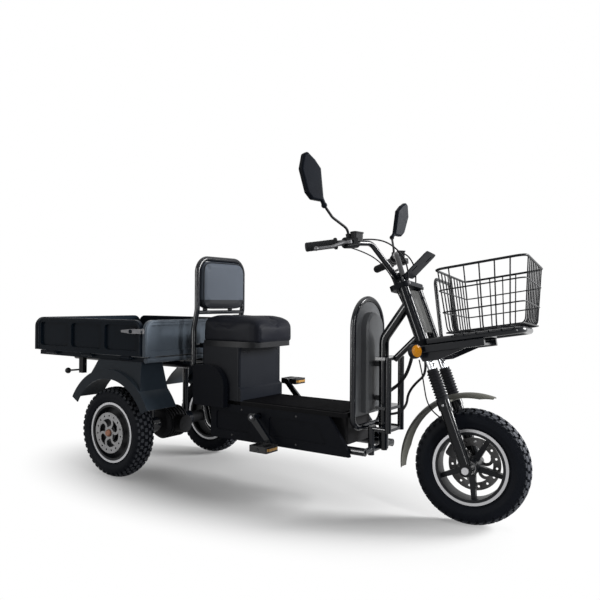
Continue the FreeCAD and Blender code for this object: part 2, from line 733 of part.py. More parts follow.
def mast_tubes():
    """Bent centre tube from the head down to the floor frame, and a short post on each side of its foot."""
    centre = bent_tube(
        [fork_point(0, 0, 668), V(MAST_X, 0, 684), V(MAST_X, 0, RAIL_LOW)], MAST_RADIUS, 60)
    posts = [
        rod(V(POST_X, side, POST_FOOT), V(POST_X, side, LINK_Z + 8), LADDER_RADIUS)
        for side in (-LADDER_SIDE, LADDER_SIDE)
    ]
    return [centre] + posts


def front_frame():
    """Head tube, its brace, and the mast with a ladder of rails and rung plates in front of it."""
    head_foot = fork_point(0, 0, LOWER_CROWN_TOP + 3)
    head_top = fork_point(0, 0, UPPER_CROWN - 4)
    head = rod(head_foot, head_top, HEAD_TUBE_RADIUS)
    ladder = [box(MAST_X - 6, LADDER_X + 6, -64, 64, height, height + 12) for height in (313, 402, 600)]
    for side in (-LADDER_SIDE, LADDER_SIDE):
        ladder.append(rod(V(LADDER_X, side, LADDER_FOOT), V(LADDER_X, side, LADDER_TOP), LADDER_RADIUS))
        ladder.append(rod(V(POST_X, side, LINK_Z), V(LADDER_X, side, LINK_Z), 8))
    low_brace = rod(fork_point(-8, 0, 530), V(LADDER_X, 0, 602), 13)
    frame = joined([head, low_brace] + mast_tubes() + ladder)
    frame = frame.cut(rod(head_foot - AXIS_UP * 20, head_top + AXIS_UP * 20, STEERER_RADIUS + RUNNING_GAP))
    cavity = rod(head_foot + AXIS_UP * 17, head_top - AXIS_UP * 16, HEAD_TUBE_RADIUS - 5)
    save("front_frame", frame.cut(cavity))


def rail_shape():
    return bent_tube([
        V(-392, -RAIL_SIDE, RAIL_LOW), V(-1225, -RAIL_SIDE, RAIL_LOW),
        V(-1300, -RAIL_SIDE, RAIL_HIGH), V(BED_REAR + 12, -RAIL_SIDE, RAIL_HIGH),
    ], RAIL_RADIUS, 70)


def hoop_tie():
    """Cross tube over the bend of the rails that the backrest hoop stands on."""
    half = ALONG_Y * (BACKREST_HALF + 14)
    return rod(HOOP_FOOT - half, HOOP_FOOT + half, 14)


def main_frame():
    rail = rail_shape()
    save("frame_rail_right", rail)
    save("frame_rail_left", left_of(rail))

    bars = [
        rod(V(distance, -RAIL_SIDE, height), V(distance, RAIL_SIDE, height), 14)
        for distance, height in (
            (-560, RAIL_LOW), (-760, RAIL_LOW), (-1180, RAIL_LOW),
            (-1345, RAIL_HIGH), (-1900, RAIL_HIGH), (BED_REAR + 30, RAIL_HIGH),
        )
    ]
    bracket = rod(V(CRANK_X, -RAIL_SIDE, CRANK_Z), V(CRANK_X, RAIL_SIDE, CRANK_Z), 19)
    stands = [
        box(CRANK_X - 16, CRANK_X + 16, side - 4, side + 4, RAIL_LOW, CRANK_Z)
        for side in (-RAIL_SIDE + 6, RAIL_SIDE - 6)
    ]
    shaft_way = rod(V(CRANK_X, -300, CRANK_Z), V(CRANK_X, 300, CRANK_Z), CRANK_RADIUS + RUNNING_GAP)
    bracket = joined([bracket] + stands).cut(shaft_way)
    hangers = [
        joined([
            rod(V(REAR_AXLE.x, side, REAR_AXLE.z), V(REAR_AXLE.x, side, RAIL_HIGH), 15),
            rod(V(REAR_AXLE.x, side - 22, REAR_AXLE.z), V(REAR_AXLE.x, side + 22, REAR_AXLE.z), 40),
        ])
        for side in (-RAIL_SIDE, RAIL_SIDE)
    ]
    front_tie = rod(V(POST_X, -RAIL_SIDE, RAIL_LOW), V(POST_X, RAIL_SIDE, RAIL_LOW), 12)
    members = bars + [bracket, hoop_tie(), front_tie.cut(mast_tubes())] + hangers
    rails = [rail, left_of(rail)]
    axle_tube = rod(REAR_AXLE - ALONG_Y * 300, REAR_AXLE + ALONG_Y * 300, 30)
    save("frame_crossbars", Part.makeCompound([member.cut(rails + [axle_tube]) for member in members]))

    tube = turned([
        (REAR_SHAFT_RADIUS + RUNNING_GAP, -278), (30, -278), (30, -78), (62, -72), (74, -60),
        (74, 60), (62, 72), (30, 78), (30, 278), (REAR_SHAFT_RADIUS + RUNNING_GAP, 278),
    ])
    fins = [
        turned([(70, side), (80, side), (80, side + 5), (70, side + 5)])
        for side in range(-50, 51, 20)
    ]
    nose = rod(V(0, 0, 0), V(120, 0, 0), 44)
    case = joined([tube, nose] + fins)
    case = case.cut(rod(V(0, -262, 0), V(0, 262, 0), REAR_SHAFT_RADIUS + 2))
    save("rear_axle_case", moved(case, REAR_AXLE))


def floor():
    under = FLOOR_TOP - FLOOR_THICK
    board = box(FLOOR_REAR, FLOOR_FRONT, -FLOOR_HALF, FLOOR_HALF, under, FLOOR_TOP)
    board = softened(board, ALONG_Z, 20, lambda middle: middle.x > -700)
    seat_base = RAIL_SIDE + 14
    tail = box(SEAT_BOX_REAR + 4, FLOOR_REAR + 20, -seat_base, seat_base, under, FLOOR_TOP)
    save("floor_board", joined([board, tail]))

    outer_side = -FLOOR_HALF - 2
    skin = V(0, FLOOR_HALF + 2 - RAIL_SIDE - RAIL_RADIUS, 0)
    cover_foot = 213.0
    cover_rear = -1184.0
    cover = slab([
        V(-448, outer_side, cover_foot), V(-463, outer_side, 255), V(-531, outer_side, 346),
        V(-545, outer_side, under), V(cover_rear, outer_side, under), V(cover_rear, outer_side, cover_foot),
    ], skin)
    recess = softened(
        slab([
            V(-545, outer_side, 250), V(-600, outer_side, 335),
            V(-850, outer_side, 335), V(-850, outer_side, 250),
        ], V(0, 6, 0)), ALONG_Y, 14)
    rear_recess = softened(box(-1150, -955, outer_side, outer_side + 6, 250, 335), ALONG_Y, 14)
    shoulder_side = -SEAT_BOX_HALF - 30
    shoulder_foot = under - 13
    shoulder_front = -1080.0
    shoulder = box(-1268, shoulder_front, shoulder_side, -SEAT_BOX_HALF - 1, shoulder_foot, 540)
    shoulder = softened(shoulder, ALONG_Y, 95, lambda middle: middle.z > 500 and middle.x > -1100)
    shoulder = softened(shoulder, ALONG_Y, 20, lambda middle: middle.x < -1250)
    shelf = box(cover_rear, shoulder_front, shoulder_side, outer_side + skin.y, shoulder_foot, under)
    cover = joined([cover.cut([recess, rear_recess]), shoulder, shelf])
    cover = cover.cut(rod(V(CRANK_X, -300, CRANK_Z), V(CRANK_X, -100, CRANK_Z), CRANK_RADIUS + 5))
    save("side_cover_right", cover)
    save("side_cover_left", left_of(cover))

    battery = softened(box(-830, -490, -98, 98, RAIL_LOW + 14, under - 6), ALONG_Z, 12)
    save("battery_pack", battery)


def quarter_turn(centre, radius, start_angle):
    """Quarter circle in the plane X = centre.x, with angles from +Y towards +Z."""
    def at(angle):
        return centre + V(0, cos(radians(angle)), sin(radians(angle))) * radius

    return arc(at(start_angle), at(start_angle - 45), at(start_angle - 90))


def leg_shield():
    """Bright hoop round a tall embossed panel, standing in front of the rider's legs."""
    top = 846.0
    foot = 322.0
    foot_bend = 50.0
    arch_centre = V(SHIELD_X, 0, top - SHIELD_HALF)
    foot_centre = V(SHIELD_X, -SHIELD_HALF + foot_bend, foot + foot_bend)
    half = Part.Wire([
        line(V(SHIELD_X, 0, foot), foot_centre - ALONG_Z * foot_bend),
        quarter_turn(foot_centre, foot_bend, 270),
        line(foot_centre - ALONG_Y * foot_bend, arch_centre - ALONG_Y * SHIELD_HALF),
        quarter_turn(arch_centre, SHIELD_HALF, 180),
    ])
    ring = Part.Wire(Part.Circle(V(SHIELD_X, 0, foot), ALONG_Y, SHIELD_TUBE).toShape())
    side = half.makePipeShell([ring], True, False)
    arms = [
        rod(V(SHIELD_X, across, foot), V(POST_X, across, foot), 8)
        for across in (-LADDER_SIDE, LADDER_SIDE)
    ]
    save("shield_hoop", joined([side, left_of(side)] + arms).cut(mast_tubes()))

    def tablet(inset, bottom, x0, x1):
        reach = SHIELD_HALF - inset
        plate = box(x0, x1, -reach, reach, bottom, top - inset)
        return softened(plate, ALONG_X, reach - 0.5, lambda middle: middle.z > 600)

    backing = tablet(SHIELD_TUBE + 0.3, 370, SHIELD_X - 10, SHIELD_X + 6)
    raised = softened_rim(tablet(54, 384, SHIELD_X + 6, SHIELD_X + 38), SHIELD_X + 38, 8)
    raised_back = softened_rim(tablet(46, 384, SHIELD_X - 16, SHIELD_X - 10), SHIELD_X - 16, 4)
    stays = [box(SHIELD_X + 6, MAST_X, -8, 8, height, height + 20) for height in (430, 570)]
    panel = joined([backing, raised, raised_back] + stays)
    save("shield_panel", panel.cut(mast_tubes()))


def softened_rim(plate, x, radius):
    """Chamfer the edges of a raised plate's outer face."""
    edges = []
    for edge in plate.Edges:
        limits = edge.BoundBox
        if abs(limits.XMin - x) < 0.01 and limits.XLength < 0.01:
            edges.append(edge)
    return plate.makeChamfer(radius, edges)


# Pedals

def crank():
    centre = V(CRANK_X, 0, CRANK_Z)
    shaft = rod(centre - ALONG_Y * (CRANK_SIDE + 6), centre + ALONG_Y * (CRANK_SIDE + 6), CRANK_RADIUS)

    def arm(side, reach):
        eye = centre + ALONG_Y * side
        tip = eye + reach
        flat = V(0, 6, 0)
        across = ALONG_Y.cross(reach).normalize()
        blade = slab([
            eye + across * 15 - flat, tip + across * 11 - flat,
            tip - across * 11 - flat, eye - across * 15 - flat,
        ], flat * 2)
        outward = ALONG_Y * (1 if side > 0 else -1)
        spindle = rod(tip, tip + outward * (PEDAL_SIDE + 44 - CRANK_SIDE), 6)
        return [blade, rod(eye - flat * 1.5, eye + flat * 1.5, 18), rod(tip - flat, tip + flat, 14), spindle]

    save("crankset", joined([shaft] + arm(-CRANK_SIDE, CRANK_ARM) + arm(CRANK_SIDE, CRANK_ARM * -1)))

    tread = softened(box(-46, 46, -42, 42, -13, 13), ALONG_Z, 8)
    window = softened(box(-36, -12, -30, 30, -20, 20), ALONG_Z, 5)
    tread = tread.cut([window, moved(window, V(48, 0, 0))])
    tread = joined([tread, box(-50, -45, -26, 26, -8, 8), box(45, 50, -26, 26, -8, 8)])
    tread = tread.cut(rod(V(0, -60, 0), V(0, 60, 0), 6 + RUNNING_GAP))
    save("right_pedal", moved(tread, centre + CRANK_ARM - ALONG_Y * PEDAL_SIDE))
    save("left_pedal", moved(tread, centre - CRANK_ARM + ALONG_Y * PEDAL_SIDE))


# Seat and backrest

def seat():
    wall = 4.0
    shell = box(SEAT_BOX_REAR, SEAT_BOX_FRONT, -SEAT_BOX_HALF, SEAT_BOX_HALF, FLOOR_TOP, SEAT_BOX_TOP)
    plinth = slab([
        V(SEAT_BOX_FRONT - 5, -SEAT_BOX_HALF, FLOOR_TOP), V(SEAT_BOX_FRONT + 8, -SEAT_BOX_HALF, FLOOR_TOP),
        V(SEAT_BOX_FRONT + 8, -SEAT_BOX_HALF, FLOOR_TOP + 52),
        V(SEAT_BOX_FRONT - 5, -SEAT_BOX_HALF, FLOOR_TOP + 64),
    ], V(0, 2 * SEAT_BOX_HALF, 0))
    inside = box(
        SEAT_BOX_REAR + wall, SEAT_BOX_FRONT - wall, -SEAT_BOX_HALF + wall, SEAT_BOX_HALF - wall,
        FLOOR_TOP + wall, SEAT_BOX_TOP + 10)
    hinge_ears = [
        box(SEAT_BOX_FRONT - 1, SEAT_HINGE.x + 8, across - 5, across + 5, SEAT_HINGE.z - 12, SEAT_HINGE.z + 4)
        for across in (-70, 70)
    ]
    pin = rod(SEAT_HINGE - ALONG_Y * 84, SEAT_HINGE + ALONG_Y * 84, 4)
    body = joined([softened(shell, ALONG_Z, 12), plinth] + hinge_ears + [pin]).cut(inside)
    save("seat_box", body)

    def rib(x, half, bottom, crown):
        shoulder = bottom + (crown - bottom) * 0.62
        foot = half * 0.86
        brow = half * 0.95
        waist = (bottom + shoulder) / 2
        return Part.Wire([
            line(V(x, -foot, bottom), V(x, foot, bottom)),
            arc(V(x, foot, bottom), V(x, half, waist), V(x, brow, shoulder)),
            arc(V(x, brow, shoulder), V(x, 0, crown), V(x, -brow, shoulder)),
            arc(V(x, -brow, shoulder), V(x, -half, waist), V(x, -foot, bottom)),
        ])

    bottom = SEAT_BOX_TOP + 3
    cushion = Part.makeLoft([
        rib(SEAT_BACK, 138, bottom + 20, 742), rib(SEAT_BACK + 16, 154, bottom, 760),
        rib(-1130, 158, bottom, 766), rib(-1030, 152, bottom, 768), rib(-970, 142, bottom + 2, 766),
        rib(-940, 130, bottom + 8, 754), rib(SEAT_TIP, 112, bottom + 28, 728),
    ], True)
    cushion = cushion.common(box(SEAT_BACK - 50, SEAT_TIP + 50, -200, 200, bottom, BACKREST_TOP))
    knuckles = [
        joined([
            rod(SEAT_HINGE + ALONG_Y * (across - 12), SEAT_HINGE + ALONG_Y * (across + 12), 8),
            box(SEAT_HINGE.x - 5, SEAT_HINGE.x + 5, across - 12, across + 12, SEAT_HINGE.z, bottom + 2),
        ])
        for across in (-50, 50)
    ]
    whole = joined([cushion] + knuckles)
    save("seat", whole.cut(rod(SEAT_HINGE - ALONG_Y * 90, SEAT_HINGE + ALONG_Y * 90, 4 + RUNNING_GAP)))


def backrest():
    """Tube hoop up from the rear frame, with a pad held inside its top."""
    tube = 12.5
    foot_x = HOOP_FOOT.x
    seat_level_x = -1264.0
    crossbar_z = 779.0
    pad_back = seat_level_x - 16
    right = [
        V(foot_x, -BACKREST_HALF, HOOP_FOOT.z), V(foot_x, -BACKREST_HALF, 700),
        V(seat_level_x, -BACKREST_HALF, 790), V(seat_level_x, -BACKREST_HALF, BACKREST_TOP),
    ]
    points = right + [V(point.x, -point.y, point.z) for point in reversed(right)]
    hoop = bent_tube(points, tube, 68)
    crossbar = rod(
        V(seat_level_x, -BACKREST_HALF, crossbar_z), V(seat_level_x, BACKREST_HALF, crossbar_z), 9)
    low_bar = rod(V(foot_x, -BACKREST_HALF, 622), V(foot_x, BACKREST_HALF, 622), 9)
    tabs = [
        box(foot_x, SEAT_BOX_REAR, across - 12, across + 12, 612, 634)
        for across in (-110, 110)
    ]
    brackets = []
    for across in (-90, 90):
        brackets.append(box(pad_back - 5, pad_back, across - 14, across + 14, crossbar_z - 3, 860))
        brackets.append(
            box(pad_back - 5, seat_level_x, across - 14, across + 14, crossbar_z - 3, crossbar_z + 3))
    save("backrest_hoop", joined([hoop, crossbar, low_bar] + tabs + brackets).cut(hoop_tie()))

    half = BACKREST_HALF - tube - 0.5
    pad = box(pad_back, seat_level_x + 28, -half, half, 795, BACKREST_TOP - tube - 0.5)
    pad = softened(pad, ALONG_X, 55, lambda middle: middle.z > 950)
    pad = softened(pad, ALONG_X, 24, lambda middle: middle.z < 900)
    rims = [
        edge for edge in pad.Edges
        if edge.BoundBox.XLength < 0.01 and edge.BoundBox.XMin > seat_level_x
    ]
    save("backrest_pad", pad.makeFillet(11, rims))


# Cargo bed

def panel_plate(length, bays):
    """Pressed panel in the plane Y = 0, foot on Z = 0: round top corners, sunk bays and a beaded rim."""
    height = PANEL_TOP - PANEL_FOOT
    edge = 24.0
    sunk = 11.0
    bead_inset = 8.0
    plate = box(0, length, 0, PANEL_THICK, 0, height)
    plate = softened(plate, ALONG_Y, PANEL_CORNER, lambda middle: middle.z > height - 1)
    bay_length = (length - edge * (bays + 1)) / bays
    for bay in range(bays):
        start = edge + bay * (bay_length + edge)
        pocket = box(start, start + bay_length, -1, sunk, edge, height - edge)
        plate = plate.cut(softened(pocket, ALONG_Y, 20))
    bead = bent_tube([
        V(bead_inset, 1, bead_inset), V(bead_inset, 1, height - bead_inset),
        V(length - bead_inset, 1, height - bead_inset), V(length - bead_inset, 1, bead_inset),
    ], 5, PANEL_CORNER - bead_inset)
    return joined([plate, bead])


def hinge_stations(length):
    return [length * share for share in (0.14, 0.5, 0.86)]


def panel_with_knuckles(length, bays):
    """Drop panel with three hinge knuckles under its foot; the hinge line is HINGE_DROP below the foot."""
    plate = panel_plate(length, bays)
    knuckles = []
    for station in hinge_stations(length):
        start = V(station - 28, PANEL_THICK / 2, -HINGE_DROP)
        barrel = rod(start, start + ALONG_X * 56, HINGE_RADIUS)
        web = box(station - 28, station + 28, PANEL_THICK / 2 - 5, PANEL_THICK / 2 + 5, -HINGE_DROP, 2)
        knuckles += [barrel, web]
    hinge_end = V(-5, PANEL_THICK / 2, -HINGE_DROP)
    bore = rod(hinge_end, hinge_end + ALONG_X * (length + 10), HINGE_PIN + RUNNING_GAP)
    return joined([plate] + knuckles).cut(bore)


def hinge_ears(length, reach):
    """Pins and the pairs of ears that hold them, reaching in to the bed's edge."""
    pieces = []
    for station in hinge_stations(length):
        for start in (station - 42, station + 30):
            middle = V(start, PANEL_THICK / 2, -HINGE_DROP)
            pieces.append(rod(middle, middle + ALONG_X * 12, HINGE_RADIUS - 1))
            pieces.append(moved(box(0, 12, 0, reach, -6, 4), middle))
        pin_end = V(station - 42, PANEL_THICK / 2, -HINGE_DROP)
        pieces.append(rod(pin_end, pin_end + ALONG_X * 84, HINGE_PIN))
    return pieces


def cargo_bed():
    side_length = BED_FRONT - BED_REAR - 8
    side_place = V(BED_REAR + 4, -BED_HALF - 2 - PANEL_THICK, PANEL_FOOT)
    tail_length = 2 * (BED_HALF + 2 + PANEL_THICK)
    tail_place = V(BED_REAR - 2 - PANEL_THICK, tail_length / 2, PANEL_FOOT)

    right_panel = moved(panel_with_knuckles(side_length, 3), side_place)
    boss = latch_boss()
    save("bed_right_panel", joined([right_panel, boss]))
    save("bed_left_panel", left_of(joined([right_panel, boss])))
    tail = spun(panel_with_knuckles(tail_length, 3), V(), ALONG_Z, -90)
    save("bed_tail_panel", moved(tail, tail_place))

    side_ears = [moved(piece, side_place) for piece in hinge_ears(side_length, PANEL_THICK / 2 + 3)]
    tail_ears = [
        moved(spun(piece, V(), ALONG_Z, -90), tail_place)
        for piece in hinge_ears(tail_length, PANEL_THICK / 2 + 3)
    ]
    tray = box(BED_REAR, BED_FRONT, -BED_HALF, BED_HALF, BED_UNDER, BED_TOP)
    pan = box(BED_REAR + 6, BED_FRONT - 6, -BED_HALF + 6, BED_HALF - 6, BED_UNDER - 1, BED_TOP - 5)
    skids = [
        box(BED_REAR + 5, BED_FRONT - 5, side - 15, side + 15, RAIL_HIGH + RAIL_RADIUS, BED_TOP - 5)
        for side in (-RAIL_SIDE, RAIL_SIDE)
    ]
    pieces = [tray.cut(pan)] + skids + side_ears + [left_of(ear) for ear in side_ears] + tail_ears
    save("bed_platform", joined(pieces))

    front_half = BED_HALF + 2 + PANEL_THICK - 4
    front = spun(panel_plate(2 * front_half, 2), V(), ALONG_Z, 90)
    front = moved(front, V(BED_FRONT + 2 + PANEL_THICK, -front_half, PANEL_FOOT))
    lip_end = V(BED_FRONT + 12, front_half - 10, BED_UNDER + 8)
    foot_lip = rod(V(lip_end.x, -lip_end.y, lip_end.z), lip_end, 12)
    posts = [
        box(BED_FRONT + 3, BED_FRONT + 17, across - 15, across + 15, BED_UNDER + 8, PANEL_FOOT + 4)
        for across in (-300, 0, 300)
    ]
    stud = rod(
        V(BED_FRONT + 11, -front_half + 8, LATCH_Z), V(BED_FRONT + 11, -front_half - 16, LATCH_Z), 4)
    front = joined([front, foot_lip, stud, left_of(stud)] + posts)
    tray_edge = box(BED_REAR, BED_FRONT, -BED_HALF, BED_HALF, BED_UNDER, BED_TOP)
    save("bed_front_panel", front.cut(tray_edge))

    hook = latch()
    save("right_latch", hook)
    save("left_latch", left_of(hook))


def latch_boss():
    """Pivot stud of the corner latch, standing out of the side panel."""
    pad = box(LATCH_X - 20, LATCH_X + 20, LATCH_FACE, LATCH_FACE + 12, LATCH_Z - 16, LATCH_Z + 16)
    stud = rod(V(LATCH_X, LATCH_FACE + 4, LATCH_Z), V(LATCH_X, LATCH_FACE - 13, LATCH_Z), 5)
    head = rod(V(LATCH_X, LATCH_FACE - 12, LATCH_Z), V(LATCH_X, LATCH_FACE - 15, LATCH_Z), 9)
    return joined([pad, stud, head])


def latch():
    """Hook that turns on the panel's stud and drops over the front panel's stud."""
    near = LATCH_FACE - 5
    depth = V(0, -6, 0)
    reach = BED_FRONT + 11 - LATCH_X
    bar = slab([
        V(LATCH_X - 66, near, LATCH_Z + 4), V(LATCH_X - 66, near, LATCH_Z - 6),
        V(LATCH_X, near, LATCH_Z - 11),
        V(LATCH_X + reach + 13, near, LATCH_Z - 9), V(LATCH_X + reach + 13, near, LATCH_Z + 13),
        V(LATCH_X, near, LATCH_Z + 11),
    ], depth)
    mouth = box(
        LATCH_X + reach - 6, LATCH_X + reach + 6, near - 10, near + 10, LATCH_Z - 20, LATCH_Z + 6)
    eye = rod(V(LATCH_X, near + 5, LATCH_Z), V(LATCH_X, near - 12, LATCH_Z), 5 + RUNNING_GAP)
    return bar.cut([mouth, eye])


# Rear fenders and lamps

def rear_fenders():
    """Sheet arch over each rear wheel with a deep outer skirt and a sloping cheek that meets the bed."""
    rear_end = 150.0
    front_end = 26.0

    def sector(outer, inner, side0, side1):
        points = [V(inner, side0, 0), V(outer, side0, 0), V(outer, side1, 0), V(inner, side1, 0)]
        face = Part.Face(Part.makePolygon(points + points[:1]))
        arch = face.revolve(V(), ALONG_Y, -(rear_end - front_end))
        return moved(spun(arch, V(), ALONG_Y, -front_end), REAR_AXLE)

    arch = sector(FENDER_RADIUS, FENDER_RADIUS - FENDER_SHEET, -FENDER_OUTER, -FENDER_INNER)
    skirt = sector(FENDER_RADIUS + 3, FENDER_RADIUS - 42, -FENDER_OUTER - 1, -FENDER_OUTER + 4)
    top = BED_UNDER
    crown = REAR_AXLE.z + 190
    cheek = slab([
        V(REAR_AXLE.x - 260, -FENDER_OUTER + 3, crown), V(REAR_AXLE.x - 260, -BED_HALF - 8, top),
        V(REAR_AXLE.x - 260, -FENDER_INNER, top), V(REAR_AXLE.x - 260, -FENDER_INNER, crown),
    ], V(520, 0, 0))
    rear_slope = slab([
        V(REAR_AXLE.x - 190, -600, crown), V(REAR_AXLE.x - 130, -600, top + 1),
        V(REAR_AXLE.x - 400, -600, top + 1), V(REAR_AXLE.x - 400, -600, crown),
    ], V(0, 500, 0))
    front_slope = slab([
        V(REAR_AXLE.x + 215, -600, crown), V(REAR_AXLE.x + 170, -600, top + 1),
        V(REAR_AXLE.x + 400, -600, top + 1), V(REAR_AXLE.x + 400, -600, crown),
    ], V(0, 500, 0))
    well = rod(REAR_AXLE - ALONG_Y * 700, REAR_AXLE, FENDER_RADIUS - 1)
    fender = joined([arch, skirt, cheek.cut([rear_slope, front_slope, well])])
    save("rear_fender_right", fender)
    save("rear_fender_left", left_of(fender))

    block = box(-1905, -1875, -BED_HALF + 2, -BED_HALF + 26, 470, BED_UNDER)
    stalk = rod(V(-1895, -BED_HALF + 14, 486), V(-2000, -BED_HALF + 14, 474), 4.5)
    lamp = Part.makeSphere(15, V(-2008, -BED_HALF + 14, 473))
    save("rear_signals", both_sides(joined([block, stalk, lamp])))


front_wheel()
rear_wheels()
fork_lower()
fork_upper()
handlebar()
rack()
basket()
front_frame()
main_frame()
floor()
leg_shield()
crank()
seat()
backrest()
cargo_bed()
rear_fenders()
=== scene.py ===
import json
from math import cos, radians, sin, tau

import bmesh
import bpy
from mathutils import Matrix, Vector


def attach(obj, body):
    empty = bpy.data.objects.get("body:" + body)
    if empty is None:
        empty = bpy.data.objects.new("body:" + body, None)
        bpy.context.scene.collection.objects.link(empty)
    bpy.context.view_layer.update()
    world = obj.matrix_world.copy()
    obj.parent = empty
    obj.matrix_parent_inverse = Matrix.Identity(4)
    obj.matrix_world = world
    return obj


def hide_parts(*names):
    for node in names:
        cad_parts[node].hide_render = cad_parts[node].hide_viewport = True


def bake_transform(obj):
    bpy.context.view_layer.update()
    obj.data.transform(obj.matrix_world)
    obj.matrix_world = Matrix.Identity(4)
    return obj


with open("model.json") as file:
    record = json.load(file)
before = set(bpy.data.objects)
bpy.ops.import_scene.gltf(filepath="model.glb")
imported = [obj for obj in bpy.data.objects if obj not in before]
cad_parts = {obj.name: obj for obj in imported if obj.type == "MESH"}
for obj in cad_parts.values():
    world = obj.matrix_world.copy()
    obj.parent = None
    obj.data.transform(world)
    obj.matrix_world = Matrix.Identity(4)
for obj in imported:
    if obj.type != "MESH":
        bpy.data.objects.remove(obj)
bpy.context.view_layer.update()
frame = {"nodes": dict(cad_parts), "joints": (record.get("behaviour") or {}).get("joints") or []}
joints = {joint["name"]: joint for joint in frame["joints"]}


# Studio: a pale floor that runs into a white backdrop, a wide softbox overhead, a square one beyond the
# front wheel for the forward faces, and two tall strips, left and right, that draw lines of light on tubes.

class Socket:
    """An output of a shader node. Python's operators on it add Math nodes to the same tree."""

    def __init__(self, tree, output=None):
        self.tree = tree
        self.output = output

    def feed(self, inputs, values):
        for name, value in values.items():
            if isinstance(value, Socket):
                self.tree.links.new(value.output, inputs[name])
            else:
                inputs[name].default_value = value

    def node(self, kind, settings=None, values=None, output=0):
        made = self.tree.nodes.new(kind)
        for name, value in (settings or {}).items():
            setattr(made, name, value)
        self.feed(made.inputs, values or {})
        return Socket(self.tree, made.outputs[output])

    def math(self, operation, first, second):
        return self.node("ShaderNodeMath", {"operation": operation}, {0: first, 1: second})

    def __add__(self, other):
        return self.math("ADD", self, other)

    def __rsub__(self, other):
        return self.math("SUBTRACT", other, self)

    def __mul__(self, other):
        return self.math("MULTIPLY", self, other)

    __radd__ = __add__
    __rmul__ = __mul__


def bare_finish(name):
    material = bpy.data.materials.new(name)
    material.use_nodes = True
    place = Socket(material.node_tree).node("ShaderNodeTexCoord", output="Object")
    return material, place


def vector_maths(operation, first, second=(0, 0, 0), output=0):
    return first.node("ShaderNodeVectorMath", {"operation": operation}, {0: first, 1: second}, output)


def step_up(value, low, high):
    """0 below low, 1 above high, smooth between."""
    smooth = {"interpolation_type": "SMOOTHSTEP"}
    return value.node("ShaderNodeMapRange", smooth, {0: value, 1: low, 2: high})


def seen_directly(anywhere):
    """1 for the rays that see the backdrop itself: from the camera, a reflection or a refraction."""
    rays = anywhere.node("ShaderNodeLightPath", output="Is Camera Ray")
    for kind in ("Is Glossy Ray", "Is Transmission Ray"):
        rays = rays + anywhere.node("ShaderNodeLightPath", output=kind)
    return rays.math("MINIMUM", rays, 1.0)


def add_object(name, data):
    made = bpy.data.objects.new(name, data)
    bpy.context.scene.collection.objects.link(made)
    return made


def add_softbox(name, place, target, wide, tall, watts, sheen_only=False):
    """A rectangular lamp at a place, turned to a target. One for sheen only lights no dull surface."""
    lamp = bpy.data.lights.new(name, "AREA")
    lamp.shape = "RECTANGLE"
    lamp.size = wide
    lamp.size_y = tall
    lamp.energy = watts
    box = add_object(name, lamp)
    box.visible_camera = False
    box.visible_diffuse = not sheen_only
    box.location = place
    box.rotation_euler = (Vector(target) - Vector(place)).to_track_quat("-Z", "Y").to_euler()


AMBIENT = 0.08
SQUARE = ((-1, -1), (1, -1), (1, 1), (-1, 1))
FLOOR_HALF = 20.0
SHADOW_LENGTH = 1.3
SHADOW_WIDTH = 0.66
SHADOW_CORE = 0.45
SHADOW_EDGE = 1.2

bpy.context.scene.view_settings.view_transform = "Standard"
world = bpy.data.worlds.new("white room")
bpy.context.scene.world = world
world.use_nodes = True
sky = Socket(world.node_tree)
sky.feed(world.node_tree.nodes["Background"].inputs, {
    "Color": (1.0, 1.0, 1.0, 1.0),
    "Strength": AMBIENT + (1.0 - AMBIENT) * seen_directly(sky),
})

floor_mesh = bpy.data.meshes.new("studio_floor")
floor_corners = [(x * FLOOR_HALF, y * FLOOR_HALF, 0) for x, y in SQUARE]
floor_mesh.from_pydata(floor_corners, [], [(0, 1, 2, 3)])
add_object("studio_floor", floor_mesh)
floor_paint, floor_place = bare_finish("floor paint")
floor_mesh.materials.append(floor_paint)
shrunk = vector_maths("MULTIPLY", floor_place, (1 / SHADOW_LENGTH, 1 / SHADOW_WIDTH, 0.0))
away = step_up(vector_maths("LENGTH", shrunk, output="Value"), SHADOW_CORE, SHADOW_EDGE)
white_card = floor_place.node("ShaderNodeEmission", {}, {"Color": (1.0, 1.0, 1.0, 1.0), "Strength": 1.0})
floor_shader = floor_paint.node_tree.nodes["Principled BSDF"]
floor_colour = floor_place.node("ShaderNodeMix", {"data_type": "RGBA"}, {
    0: seen_directly(floor_place),
    6: (0.20, 0.20, 0.21, 1.0),
    7: (0.66, 0.66, 0.66, 1.0),
}, 2)
floor_place.feed(floor_shader.inputs, {"Base Color": floor_colour, "Roughness": 0.7})
faded_floor = floor_place.node("ShaderNodeMixShader", {}, {
    0: away * seen_directly(floor_place),
    1: Socket(floor_paint.node_tree, floor_shader.outputs[0]),
    2: white_card,
})
floor_place.feed(floor_paint.node_tree.nodes["Material Output"].inputs, {"Surface": faded_floor})

add_softbox("overhead softbox", (0.3, 0.2, 4.4), (0.0, 0.0, 0.0), 5.5, 5.0, 62.0)
add_softbox("front softbox", (3.4, 2.4, 2.0), (0.2, 0.0, 0.6), 1.5, 1.5, 340.0)
add_softbox("right strip", (-1.6, -4.4, 1.6), (0.0, 0.0, 0.8), 1.1, 3.0, 230.0, True)
add_softbox("front strip", (4.0, -1.7, 1.6), (0.6, 0.0, 0.7), 0.3, 2.6, 70.0)

